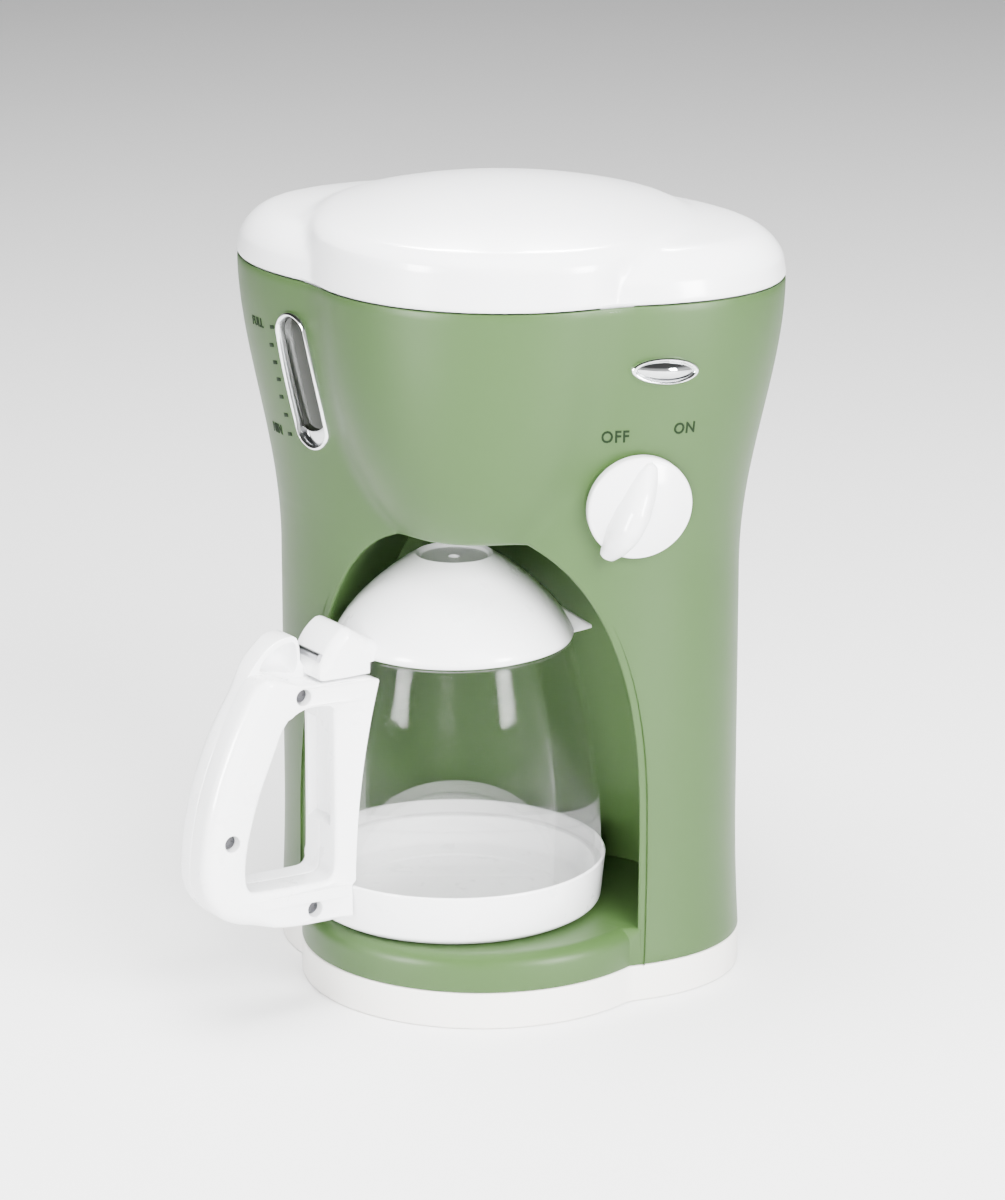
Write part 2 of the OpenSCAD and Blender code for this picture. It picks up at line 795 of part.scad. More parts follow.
module indicator_bezel() {
  color(chrome)
    at_eye()
      difference() {
        union() {
          translate([0, 0, -eye_sink]) linear_extrude(eye_sink + bezel_proud - 0.6) indicator_2d(0);
          translate([0, 0, bezel_proud - 0.6]) linear_extrude(0.6) indicator_2d(0.4);
          translate([0, 0, -tongue_l]) linear_extrude(tongue_l) indicator_2d(tongue_inset);
        }
        translate([0, 0, -tongue_l - 1])
          linear_extrude(tongue_l + bezel_proud + 2) indicator_2d(bezel_rim + 0.4);
      }
}
module indicator_lens() {
  color(clear)
    at_eye()
      translate([0, 0, -3]) linear_extrude(3.8) indicator_2d(bezel_rim + 0.4 + seat_fit / 2);
}

// ---- switch, board, lamp, speaker ----

switch_r = 8;
switch_h = 7;
shaft_l = board_depth - board_t - 1;
module rotary_switch() {
  color(dark)
    at_knob()
      difference() {
        union() {
          translate([0, 0, -board_depth + board_t]) cylinder(r = switch_r, h = switch_h);
          translate([0, 0, -board_depth + board_t]) cylinder(r = shaft_r + 1.6, h = switch_h + 2.5);
        }
        translate([0, 0, -board_depth + board_t + 1.5])
          cylinder(r = shaft_r + run_fit, h = switch_h + 4);
      }
}
module circuit_board() {
  color([0.2, 0.42, 0.25])
    at_knob()
      difference() {
        translate([-10, board_low, -board_depth]) cube([board_w, board_high - board_low, board_t]);
        for (y = board_post_y)
          translate([8, y, -board_depth - 1]) cylinder(r = 1.2, h = board_t + 0.5);
      }
}
lamp_r = 2.5;
module led_lamp() {
  color([0.9, 0.3, 0.25])
    at_knob()
      translate([6, 40, -board_depth + board_t]) {
        cylinder(r = lamp_r, h = 7);
        translate([0, 0, 7]) sphere(lamp_r);
        cylinder(r = lamp_r + 0.5, h = 1);
      }
}
module speaker() {
  color(dark)
    translate([0, speaker_y, plinth_z + base_floor]) {
      layer = speaker_h / 3;
      cylinder(r = speaker_r, h = layer);
      translate([0, 0, layer]) cylinder(r1 = speaker_r, r2 = magnet_r, h = layer);
      translate([0, 0, 2 * layer]) cylinder(r = magnet_r, h = layer);
    }
}

// ---- battery box ----

cell_y = pad_face_y - door_t - 0.8 - cell_r;
cell_x = cell_r + 0.5;
box_wall = 1.4;
box_half_w = 2 * cell_r + 1 + box_wall + 0.6;
box_y0 = cell_y - cell_r - 0.3 - box_wall;
box_y1 = pad_face_y - 12;
cell_z = box_z + 4;
contact_t = 0.5;
contact_half = cell_r * 0.7;

module battery_box() {
  color(dark)
    difference() {
      translate([-box_half_w, box_y0, box_z])
        cube([2 * box_half_w, box_y1 - box_y0, box_h]);
      translate([-box_half_w + box_wall, box_y0 + box_wall, box_z + box_wall])
        cube([2 * (box_half_w - box_wall), 40, box_h - 2 * box_wall]);
    }
}
module battery_cells() {
  color([0.25, 0.3, 0.45])
    for (side = [-1, 1])
      translate([side * cell_x, cell_y, cell_z]) {
        cylinder(r = cell_r, h = cell_l - 1.5);
        cylinder(r = cell_r * 0.38, h = cell_l);
      }
}
module battery_contacts() {
  color(chrome) {
    translate([-cell_x - contact_half, cell_y - contact_half, box_z + box_wall])
      cube([2 * (cell_x + contact_half), 2 * contact_half, contact_t]);
    for (side = [-1, 1]) {
      translate([side * cell_x, cell_y, box_z + box_wall + contact_t])
        cylinder(r1 = contact_half * 0.8, r2 = 2, h = cell_z - box_z - box_wall - contact_t);
      translate([side * cell_x - contact_half, cell_y - contact_half, cell_z + cell_l])
        cube([2 * contact_half, 2 * contact_half, box_z + box_h - box_wall - cell_z - cell_l]);
    }
  }
}
module battery_door() {
  color(green)
    difference() {
      translate([-door_half_w + door_gap, pad_face_y - door_t + door_gap, door_z0 + door_gap])
        cube([
          2 * (door_half_w - door_gap), door_t - door_gap, door_z1 - door_z0 - 2 * door_gap
        ]);
      for (i = [0:4])
        translate([-12, pad_face_y - 0.6, door_z0 + 8 + 2.4 * i]) cube([24, 2, 1.1]);
      translate([0, pad_face_y - 5, door_screw_z])
        rotate([-90, 0, 0]) cylinder(r = screw_r + 0.1, h = 10);
    }
}
module door_screw() {
  color(chrome)
    translate([0, pad_face_y + 1.4, door_screw_z])
      rotate([90, 0, 0]) {
        difference() {
          cylinder(r = screw_head_r, h = 1.4);
          cross_slot(screw_head_r);
        }
        cylinder(r = screw_r, h = 10);
      }
}

// ---- lid of the housing ----

module lid_hinge_pin() {
  color(chrome)
    translate([0, hinge_y, hinge_z])
      rotate([0, 90, 0]) cylinder(r = hinge_pin_r, h = 2 * pin_half_l, center = true);
}

lid_draft = 0.8;
// Rise of one lobe at a distance in from its outline: a drafted wall, a rounding
// and a crown, which falls with the square of the share q of the way out
function lobe_rise(d, q, wall_h, round, rise) =
  d <= 0
    ? 0
    : wall_h * min(1, d / lid_draft)
      + 0.9 * round * sqrt(1 - pow(1 - min(1, d / round), 2))
      + (rise - wall_h - 0.9 * round) * (1 - q * q);
function lid_height(x, y, g) =
  let (
    a = half_w(seam_z) + g,
    b = half_d(seam_z) + g,
    c = lobe_top_r + g,
    out = pow(x / a, 2) + pow(y / b, 2),
    slope = 2 * norm([x / (a * a), y / (b * b)]) + 0.001,
    from_head = norm([x, y + head_y(seam_z)]),
    side = lobe_rise((1 - out) / slope, sqrt(out), side_wall_h, side_round, side_rise),
    mid = lobe_rise(c - from_head, from_head / c, dome_wall_h, dome_round, dome_rise)
  )
  soft_max(side, mid, crease_soft) + g;
function lid_ray(t, g) =
  soft_max(
    ellipse_ray(t, half_w(seam_z) + g, half_d(seam_z) + g),
    sin(t) > 0 ? 0 : circle_ray(t, lobe_top_r + g, head_y(seam_z)),
    crease_soft
  );
// Rings of the lid: some at distances in from the edge, then at shares of what is left
lid_inset = [0.25, 0.8, 1.8, 3.4, 5.6, 8.4, 11.5];
lid_share = [0.84, 0.68, 0.5, 0.32, 0.14, 0.04];
lid_base_z = seam_z + lid_gap;
function lid_ring(inset, share, g) =
  [
    for (i = [0:lid_steps - 1])
      let (
        t = 360 * i / lid_steps,
        r = (lid_ray(t, g) - inset) * share,
        x = r * cos(t),
        y = r * sin(t)
      )
      [x, y, lid_base_z + lid_height(x, y, g)]
  ];
function lid_foot_ring(z, g) =
  [
    for (i = [0:lid_steps - 1])
      let (t = 360 * i / lid_steps, r = lid_ray(t, g)) [r * cos(t), r * sin(t), z]
  ];
module lid_solid(g, drop) {
  loft(concat(
    [lid_foot_ring(lid_base_z - drop, g)],
    [for (inset = lid_inset) lid_ring(inset, 1, g)],
    [for (share = lid_share) lid_ring(lid_inset[6], share, g)]
  ));
}
module top_lid() {
  color(white)
    difference() {
      union() {
        difference() {
          lid_solid(0, 0);
          lid_solid(-lid_wall, 1);
        }
        translate([0, hinge_y, hinge_z]) {
          rotate([0, 90, 0]) cylinder(r = knuckle_r, h = 2 * knuckle_half_l, center = true);
          translate([-knuckle_half_l, -knuckle_r - 1.6, 0.5])
            cube([2 * knuckle_half_l, knuckle_r + 1.6, knuckle_r - 0.5]);
        }
      }
      translate([0, hinge_y, hinge_z])
        rotate([0, 90, 0])
          cylinder(r = hinge_pin_r + run_fit, h = 6 * knuckle_half_l, center = true);
    }
}

// ---- knob ----

knob_lift = knob_pad_h + 0.4;
knob_edge_r = 1.6;
module knob() {
  color(white)
    at_knob()
      rotate(-knob_rest_turn)
        translate([0, 0, knob_lift])
          difference() {
            union() {
              rotate_extrude() knob_profile_2d();
              grip_ridge();
            }
            translate([0, 0, -1]) cylinder(r = shaft_r + run_fit, h = 5);
          }
}
// Half section of the knob's disc: straight rim, rounded edge and shallow dome
module knob_profile_2d() {
  dome_r = (pow(knob_r, 2) + pow(knob_t - knob_rim_t, 2)) / (2 * (knob_t - knob_rim_t));
  intersection() {
    square([knob_r, knob_t]);
    union() {
      square([knob_r, knob_rim_t - 1]);
      translate([0, knob_t - dome_r]) circle(dome_r, $fn = 128);
      square([knob_r - 1, knob_rim_t]);
    }
  }
}
module grip_ridge() {
  hull() {
    translate([0, knob_r - 3, knob_t - 3]) sphere(1.6, $fn = 24);
    translate([0, 0, knob_t + ridge_h - 3.4]) sphere(3.4, $fn = 24);
    translate([0, -knob_r + 4, knob_t - 3]) sphere(3.6, $fn = 24);
    translate([0, 0, 1]) cylinder(r = 4.2, h = 1, $fn = 24);
  }
  hull() {
    translate([0, -knob_r + 4, knob_rim_t]) sphere(3, $fn = 24);
    translate([0, -knob_r - 1.8, knob_rim_t + 0.2]) sphere(1.9, $fn = 24);
    translate([0, -knob_r - 1.4, 2.4]) sphere(1.8, $fn = 24);
  }
}
module knob_shaft() {
  color(dark)
    at_knob()
      translate([0, 0, -board_depth + board_t + 1.8])
        cylinder(r = shaft_r, h = board_depth - board_t - 1.8 + knob_lift + 3.6);
}

// ---- carafe ----

pot_z = platform_z + carafe_gap;
collar_top = pot_z + collar_h;
glass_z = collar_top - 4;
// Outer radius of the glass at a height: full at the collar, drawn in at the rim
function glass_r(z) =
  let (t = (z - glass_z) / (glass_rim_z - glass_z))
  glass_rim_r + (collar_r - 1 - glass_rim_r) * (1 - pow(max(0, t), 2.1));
glass_steps = 12;
module glass_section_2d(g) {
  polygon(concat(
    [for (i = [0:glass_steps])
      let (z = glass_z + (glass_rim_z - glass_z) * i / glass_steps) [glass_r(z) + g, z]],
    [[0, glass_rim_z], [0, glass_z]]
  ));
}
// Puts its children at the carafe's axis, turned by an angle
module at_carafe(a) {
  translate([-carafe_x, -carafe_y, 0]) rotate(a) children();
}
module carafe_glass() {
  color(clear)
    at_carafe(0)
      rotate_extrude($fn = 96)
        difference() {
          union() {
            glass_section_2d(0);
            translate([glass_rim_r - 1, glass_rim_z - 1]) circle(1.4, $fn = 32);
          }
          glass_section_2d(-glass_wall);
          translate([0, glass_z - 1]) square([glass_rim_r - glass_wall, glass_rim_z]);
        }
}
collar_round = 2.5;
module collar_outer_2d() {
  foot = collar_r - 1.4;
  polygon([
    [0, pot_z], [foot - collar_round, pot_z], [foot - 0.7, pot_z + 0.8], [foot, pot_z + collar_round],
    [collar_r, collar_top - 1], [collar_r - 0.4, collar_top], [0, collar_top]
  ]);
}
module carafe_collar() {
  color(white)
    at_carafe(0)
      rotate_extrude($fn = 96)
        difference() {
          collar_outer_2d();
          translate([0, pot_z + 2.4]) square([collar_r - collar_wall - 1.4, collar_h]);
          translate([0, glass_z - 0.2]) square([collar_r - 1 + 0.15, collar_h]);
          // round step in the floor
          translate([0, pot_z + 1.8]) square([collar_r * 0.7, 1]);
        }
}

// ---- handle ----

handle_angle = 180 + handle_turn;
pivot_s = 50;
pivot_z = 107;
screw_places = [
  [57, 97], [handle_reach - grip_w + 3.2, handle_foot_z + 29.5], [54, handle_foot_z + 4.5]
];
tab_gap = 0.5;
post_top_z = pivot_z - 7;
rib_half_t = 3;
rib_r = 4.5;

// Rounds a closed outline by cutting its corners again and again
function rounded(p, n) =
  n == 0
    ? p
    : rounded(
        [
          for (i = [0:len(p) - 1])
            let (q = p[(i + 1) % len(p)]) each [0.75 * p[i] + 0.25 * q, 0.25 * p[i] + 0.75 * q]
        ],
        n - 1
      );
// Side view of the handle: distance from the carafe's axis, height
module handle_outline_2d() {
  polygon(rounded(
    [
      [20, handle_foot_z], [handle_reach - 30, handle_foot_z + 0.5],
      [handle_reach - 11, handle_foot_z + 3], [handle_reach - 1, handle_foot_z + 13],
      [handle_reach, handle_foot_z + 30], [handle_reach, handle_foot_z + 42],
      [handle_reach - 6, handle_foot_z + 62], [handle_reach - 15, handle_top_z - 7],
      [handle_reach - 19.5, handle_top_z + 1], [handle_reach - 26, handle_top_z],
      [pivot_s + 12, handle_top_z], [pivot_s + 11, pivot_z + 2], [pivot_s + 9.5, post_top_z],
      [pivot_s + 6, post_top_z], [20, post_top_z]
    ],
    2
  ));
}
module finger_gap_2d() {
  inner = handle_reach - grip_w;
  low = handle_foot_z + 13.5;
  post_s = pivot_s - 2;
  polygon(rounded(
    [
      [post_s, low], [inner - 6, low], [inner, low + 1], [inner, low + 10],
      [inner - 1, low + 20], [inner - 6, low + 36], [inner - 13, low + 48],
      [inner - 18, low + 52], [post_s, low + 52], [post_s, low + 44], [post_s, low + 8]
    ],
    2
  ));
}
// One half of the handle, from y = 0 to side * handle_t / 2, trimmed to hug the pot
module handle_half(side) {
  difference() {
    union() {
      translate([0, side < 0 ? 0 : handle_t / 2, 0])
        rotate([90, 0, 0])
          linear_extrude(handle_t / 2)
            difference() {
              handle_outline_2d();
              finger_gap_2d();
            }
      // rib that carries the pin of the carafe's lid
      translate([pivot_s, side < 0 ? 0 : rib_half_t, pivot_z])
        rotate([90, 0, 0]) {
          cylinder(r = rib_r, h = rib_half_t);
          translate([-rib_r, -10, 0]) cube([2 * rib_r, 10, rib_half_t]);
        }
    }
    translate([pivot_s, 0, pivot_z])
      rotate([90, 0, 0]) cylinder(r = pot_pin_r + run_fit, h = handle_t + 4, center = true);
    rotate_extrude($fn = 96) {
      polygon([
        [0, pot_z - 1], [collar_r + 0.3, pot_z - 1], [collar_r + 0.3, collar_top + 0.3],
        [glass_r(collar_top) + 0.3, collar_top + 0.3], [0, collar_top + 0.3]
      ]);
      glass_section_2d(0.3);
      translate([0, glass_rim_z - 4]) square([glass_rim_r + 0.9, 5]);
    }
    for (p = screw_places)
      translate([p[0], 0, p[1]])
        rotate([90, 0, 0]) {
          translate([0, 0, -handle_t / 2 + 2])
            cylinder(r = handle_screw_r + 0.1, h = handle_t);
          if (side < 0) translate([0, 0, handle_t / 2 - 3])
            cylinder(r = handle_screw_head_r + 0.3, h = 10);
        }
  }
}
module handle_near_half() {
  color(white) at_carafe(handle_angle) mirror([0, 1, 0]) handle_half(-1);
}
module handle_far_half() {
  color(white) at_carafe(handle_angle) mirror([0, 1, 0]) handle_half(1);
}
module handle_screws() {
  color([0.42, 0.42, 0.44])
    at_carafe(handle_angle)
      mirror([0, 1, 0])
        for (p = screw_places)
          translate([p[0], -handle_t / 2 + 1, p[1]])
            rotate([-90, 0, 0]) {
              difference() {
                cylinder(r = handle_screw_head_r, h = 1.8);
                cross_slot(handle_screw_head_r);
              }
              cylinder(r = handle_screw_r, h = handle_t - 4);
            }
}

// ---- lid of the carafe ----

lid_foot_z = glass_rim_z + carafe_gap + 0.4;
lid_foot_r = glass_rim_r + 0.9;
dish_r = 9;
skirt_gap = 1.2;
skirt_t = 1.7;
// Room beside the glass for the tab's lower edge, which swings inwards
swing_gap = 1.3;
// Half section of the lid's dome, a curve between a circle and a straight line
module pot_lid_2d(g) {
  steps = 12;
  polygon(concat(
    [[0, lid_foot_z], [lid_foot_r + g, lid_foot_z]],
    [
      for (i = [0:steps])
        let (
          u = sin(90 * i / steps),
          r = (lid_foot_r + g) * pow(1 - pow(u, 1.6), 1 / 1.6)
        )
        [max(r, eps), lid_foot_z + 1 + (pot_lid_rise + g) * u]
    ]
  ));
}
module carafe_lid() {
  color(white)
    difference() {
      union() {
        at_carafe(0)
          rotate_extrude($fn = 96)
            difference() {
              union() {
                pot_lid_2d(0);
                translate([0, glass_rim_z - 3])
                  square([glass_rim_r - glass_wall - skirt_gap, 5]);
              }
              intersection() {
                pot_lid_2d(-2);
                translate([0, lid_foot_z + 2.2]) square([80, 80]);
              }
              translate([0, glass_rim_z - 4])
                square([
                  glass_rim_r - glass_wall - skirt_gap - skirt_t, lid_foot_z + 7 - glass_rim_z
                ]);
              translate([0, lid_foot_z + pot_lid_rise - 1.2]) square([dish_r, 8]);
            }
        spout();
        thumb_tab();
      }
      at_carafe(0) translate([0, 0, lid_foot_z]) cylinder(r = 1.6, h = 60);
      at_carafe(handle_angle)
        translate([pivot_s, 0, pivot_z])
          rotate([90, 0, 0]) cylinder(r = pot_pin_r + run_fit, h = handle_t + 4, center = true);
    }
}
// Pointed lip that closes the pouring side
module spout() {
  at_carafe(spout_turn)
    hull() {
      translate([lid_foot_r + 5.5, 0, lid_foot_z + 2.2]) sphere(0.8, $fn = 16);
      translate([lid_foot_r - 4, 0, lid_foot_z + 12]) sphere(1, $fn = 16);
      for (side = [-1, 1])
        translate([lid_foot_r - 3.4, side * 6.5, lid_foot_z + 1]) sphere(0.8, $fn = 16);
    }
}
// Hollow cover from the dome over the handle's top, which the thumb presses down;
// its end is round about the pin, so that it clears the handle as the lid swings
module thumb_tab() {
  at_carafe(handle_angle)
    difference() {
      translate([0, handle_t / 2, 0])
        rotate([90, 0, 0])
          linear_extrude(handle_t)
            difference() {
              union() {
                polygon([
                  [lid_foot_r - 5, post_top_z + tab_gap], [pivot_s, post_top_z + tab_gap],
                  [pivot_s, pivot_z], [pivot_s + 8.5, pivot_z + 3], [pivot_s + 1, pivot_z + 9],
                  [lid_foot_r - 3, pivot_z + 4]
                ]);
                translate([pivot_s, pivot_z]) circle(pivot_z - post_top_z - tab_gap);
              }
              polygon([
                [pivot_s + 5, pivot_z - 12], [pivot_s + 12, pivot_z - 12],
                [pivot_s + 12, pivot_z + 2], [pivot_s + 6.5, pivot_z]
              ]);
            }
      rotate_extrude() pot_lid_2d(-1);
      cylinder(r = glass_r(post_top_z) + swing_gap, h = lid_foot_z);
      // slot for the handle's rib
      translate([pivot_s, rib_half_t + 0.4, pivot_z])
        rotate([90, 0, 0])
          linear_extrude(2 * rib_half_t + 0.8) {
            circle(rib_r + 0.4);
            translate([-rib_r - 0.4, -20]) square([3 * rib_r, 20]);
          }
    }
}
module carafe_lid_pin() {
  color(chrome)
    at_carafe(handle_angle)
      translate([pivot_s, 0, pivot_z])
        rotate([90, 0, 0]) cylinder(r = pot_pin_r, h = handle_t - 1, center = true);
}

front_shell();
rear_shell();
base_plinth();
rubber_feet();
base_screws();
rear_screws();
top_deck();
water_tank();
outlet_nozzle();
window_bezel();
window_lens();
gauge_channel();
indicator_bezel();
indicator_lens();
led_lamp();
circuit_board();
rotary_switch();
speaker();
battery_box();
battery_cells();
battery_contacts();
lid_hinge_pin();
top_lid();
knob();
knob_shaft();
carafe_glass();
carafe_collar();
handle_near_half();
handle_far_half();
handle_screws();
carafe_lid();
carafe_lid_pin();
battery_door();
door_screw();
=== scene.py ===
import json
import math
import bmesh
import bpy
import numpy as np
from mathutils import Matrix, Vector
from mathutils.geometry import tessellate_polygon


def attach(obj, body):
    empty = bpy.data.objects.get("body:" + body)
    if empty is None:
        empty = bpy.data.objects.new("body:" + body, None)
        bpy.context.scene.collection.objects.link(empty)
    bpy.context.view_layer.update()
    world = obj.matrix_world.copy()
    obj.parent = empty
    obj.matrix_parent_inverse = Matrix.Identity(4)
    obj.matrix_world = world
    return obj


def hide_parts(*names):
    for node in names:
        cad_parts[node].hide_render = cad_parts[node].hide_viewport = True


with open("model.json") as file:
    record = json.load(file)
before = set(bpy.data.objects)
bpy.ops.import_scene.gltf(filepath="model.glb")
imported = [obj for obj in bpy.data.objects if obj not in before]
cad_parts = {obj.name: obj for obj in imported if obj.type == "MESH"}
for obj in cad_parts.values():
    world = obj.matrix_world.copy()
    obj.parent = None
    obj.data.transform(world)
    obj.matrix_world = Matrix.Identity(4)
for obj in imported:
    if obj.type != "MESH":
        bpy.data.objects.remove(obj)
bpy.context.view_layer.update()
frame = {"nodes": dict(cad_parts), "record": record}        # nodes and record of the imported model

mm = 0.001               # everything below is worked out in millimetres


# Meshes from grids of points

# Grids (rows x columns x 3) as one list of points and one of four-sided faces.
# A grid may come with a mask of the cells to keep.
def joinGrids(grids):
    points, faces, start = [], [], 0
    for grid in grids:
        keep = None
        if isinstance(grid, tuple):
            grid, keep = grid
        rows, cols = grid.shape[:2]
        ids = start + np.arange(rows * cols).reshape(rows, cols)
        quads = np.stack([ids[:-1, :-1], ids[:-1, 1:], ids[1:, 1:], ids[1:, :-1]], -1)
        faces.append(quads.reshape(-1, 4) if keep is None else quads[keep])
        points.append(grid.reshape(-1, 3))
        start += rows * cols
    return np.concatenate(points), np.concatenate(faces)


# Points that fall in one cell of 0.002 mm become one; a quad that loses a side becomes a triangle
def weld(points, faces):
    key = np.round(points / 0.002 + 0.137).astype(np.int64)
    _, first, where = np.unique(key, axis=0, return_index=True, return_inverse=True)
    where = where.reshape(-1)
    quads = where[faces]
    same = quads == np.roll(quads, -1, axis=1)
    tris = [np.delete(quads[(same.sum(1) == 1) & same[:, k]], k, axis=1) for k in range(4)]
    return points[first], quads[same.sum(1) == 0], np.concatenate(tris), where


# Flat faces that fill loops lying in one plane: the first is the rim, the rest are holes
def fillLoops(loops):
    flat = [[Vector(p) for p in loop.tolist()] for loop in loops]
    ids = np.array(tessellate_polygon(flat), dtype=np.int64).reshape(-1, 3)
    return np.concatenate(loops), ids


# Mesh from grids and filled loops, welded and with its faces turned outwards
def buildMesh(name, grids, fills=()):
    points, faces = joinGrids(grids)
    triangles = []
    for loops in fills:
        more, ids = fillLoops(loops)
        triangles.append(ids + len(points))
        points = np.concatenate([points, more])
    points, quads, tris, where = weld(points, faces)
    if triangles:
        more = where[np.concatenate(triangles)]
        whole = (more[:, 0] != more[:, 1]) & (more[:, 1] != more[:, 2]) & (more[:, 2] != more[:, 0])
        tris = np.concatenate([tris, more[whole]])
    mesh = bpy.data.meshes.new(name)
    mesh.from_pydata((points * mm).tolist(), [], quads.tolist() + tris.tolist())
    mesh.validate()
    work = bmesh.new()
    work.from_mesh(mesh)
    bmesh.ops.delete(work, geom=[v for v in work.verts if not v.link_faces], context="VERTS")
    bmesh.ops.recalc_face_normals(work, faces=work.faces)
    work.to_mesh(mesh)
    work.free()
    return mesh


# Smooth shading, with edges sharper than an angle kept sharp
def shade(mesh, angle):
    mesh.shade_smooth()
    mesh.set_sharp_from_angle(angle=math.radians(angle))


# One finished piece: its mesh, its body, its slot, the CAD nodes it stands for, the angle from which its
# edges stay sharp, and its finish where that isn't the slot's own
def addPiece(name, mesh, body, slot, nodes=(), angle=32, finish=None):
    shade(mesh, angle)
    mesh.materials.clear()
    mesh.materials.append(finishes[finish or slot])
    piece = bpy.data.objects.new(name, mesh)
    bpy.context.scene.collection.objects.link(piece)
    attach(piece, body)
    if nodes:
        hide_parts(*nodes)
    print("piece", name, len(mesh.polygons), "faces")


# A mesh with modifiers worked in, so that nothing is left live on the piece
def applyModifiers(mesh, *modifiers):
    holder = bpy.data.objects.new("holder", mesh)
    bpy.context.scene.collection.objects.link(holder)
    for kind, settings in modifiers:
        modifier = holder.modifiers.new(kind.title(), kind)
        for key, value in settings.items():
            setattr(modifier, key, value)
    bpy.context.view_layer.update()
    done = holder.evaluated_get(bpy.context.evaluated_depsgraph_get())
    result = bpy.data.meshes.new_from_object(done)
    bpy.data.objects.remove(holder)
    return result


# Several meshes as one, each left as it is
def joinMeshes(name, meshes):
    work = bmesh.new()
    for mesh in meshes:
        work.from_mesh(mesh)
    joined = bpy.data.meshes.new(name)
    work.to_mesh(joined)
    work.free()
    for mesh in meshes:
        bpy.data.meshes.remove(mesh)
    return joined


# Profiles, outlines and places

def lerp(a, b, share):
    return a + (b - a) * share


# Closed outline with its corners cut n times, each time at a quarter and three quarters
def cutCorners(outline, n):
    outline = np.asarray(outline, float)
    for _ in range(n):
        after = np.roll(outline, -1, axis=0)
        outline = np.stack([0.75 * outline + 0.25 * after, 0.25 * outline + 0.75 * after], 1)
        outline = outline.reshape(-1, 2)
    return outline


# The same closed outline with points a fixed distance apart
def evenOutline(outline, step):
    ring = np.concatenate([outline, outline[:1]])
    run = np.concatenate([[0], np.cumsum(np.hypot(*np.diff(ring, axis=0).T))])
    at = np.linspace(0, run[-1], max(8, int(run[-1] / step)) + 1)[:-1]
    return np.stack([np.interp(at, run, ring[:, 0]), np.interp(at, run, ring[:, 1])], 1)


# Unit normals of a closed outline, pointing out of a counterclockwise one
def outlineNormals(outline):
    ahead = np.roll(outline, -1, axis=0) - np.roll(outline, 1, axis=0)
    normal = np.stack([ahead[:, 1], -ahead[:, 0]], 1)
    return normal / np.linalg.norm(normal, axis=1, keepdims=True)


# Polyline with each inner corner replaced by an arc of the given radius and steps
def filletLine(corners, steps=5):
    out = []
    for k, corner in enumerate(corners):
        here = np.array(corner[:2], float)
        radius = corner[2] if len(corner) > 2 else 0
        if radius == 0 or k in (0, len(corners) - 1):
            out.append(here)
            continue
        before, after = np.array(corners[k - 1][:2], float), np.array(corners[k + 1][:2], float)
        u, v = before - here, after - here
        u, v = u / np.linalg.norm(u), v / np.linalg.norm(v)
        half = math.acos(max(-1, min(1, u @ v))) / 2
        cut = radius / math.tan(half)
        centre = here + (u + v) / np.linalg.norm(u + v) * radius / math.sin(half)
        first, last = here + u * cut - centre, here + v * cut - centre
        turn = math.atan2(first[0] * last[1] - first[1] * last[0], first @ last)
        for share in np.linspace(0, 1, steps + 1):
            c, s = math.cos(turn * share), math.sin(turn * share)
            out.append(centre + np.array([c * first[0] - s * first[1], s * first[0] + c * first[1]]))
    return np.array(out)


# Surface of revolution: a line of (radius, height) turned about an upright axis
def revolve(line, centre=(0, 0), steps=160):
    turn = np.linspace(0, 2 * np.pi, steps + 1)
    turn[-1] = 0
    radius, height = line[:, 0][None], line[:, 1][None]
    x = centre[0] + radius * np.cos(turn)[:, None]
    y = centre[1] + radius * np.sin(turn)[:, None]
    return np.stack([x, y, np.broadcast_to(height, x.shape)], -1)


# Plate between two levels with its outline's edges rounded: rings drawn in along a quarter circle.
# Outlines after the first are holes. A rounding is one number, or a list with one entry for each outline,
# which may hold a radius for each point. Gives grids and filled loops in (across, up, level).
def plate(outlines, low, high, roundLow, roundHigh, steps=4):
    grids, lowLoops, highLoops = [], [], []
    for k, outline in enumerate(outlines):
        area = np.sum(outline[:, 0] * np.roll(outline[:, 1], -1) - outline[:, 1] * np.roll(outline[:, 0], -1))
        outward = outlineNormals(outline) * np.sign(area) * (1 if k == 0 else -1)
        rows = []
        for radius, level, side in ((roundLow, low, 1), (roundHigh, high, -1)):
            radius = radius[k] if isinstance(radius, list) else radius
            angles = np.linspace(0, np.pi / 2, steps + 1) if np.any(radius > 0) else np.array([np.pi / 2])
            ring = [(radius * (1 - math.sin(a)), level + side * radius * (1 - math.cos(a))) for a in angles]
            rows.append(ring if side > 0 else ring[::-1])
        rings = []
        for inset, level in rows[0] + rows[1]:
            flat = outline - outward * np.reshape(inset, (-1, 1))
            rings.append(np.concatenate([flat, np.broadcast_to(np.reshape(level, (-1, 1)), (len(flat), 1))], 1))
        lowLoops.append(rings[0])
        highLoops.append(rings[-1])
        grids.append(closedGrid(rings))
    return grids, [lowLoops, highLoops]


# Grids and filled loops with every point moved by the same rule
def moved(parts, rule):
    grids, fills = parts
    return [rule(grid) for grid in grids], [[rule(loop) for loop in loops] for loops in fills]


# Takes (across, up, level) points into the object's frame
def placed(frameAxes, origin, parts):
    return moved(parts, lambda p: origin + p @ np.array(frameAxes))


# Points of a flat outline lifted to one level, and rings closed up into a grid
def ringAt(flat, level):
    return np.concatenate([flat, np.full((len(flat), 1), float(level))], 1)


def closedGrid(rings):
    rings = np.array(rings)
    return np.concatenate([rings, rings[:, :1]], 1)


print("helpers ready")


# Finishes

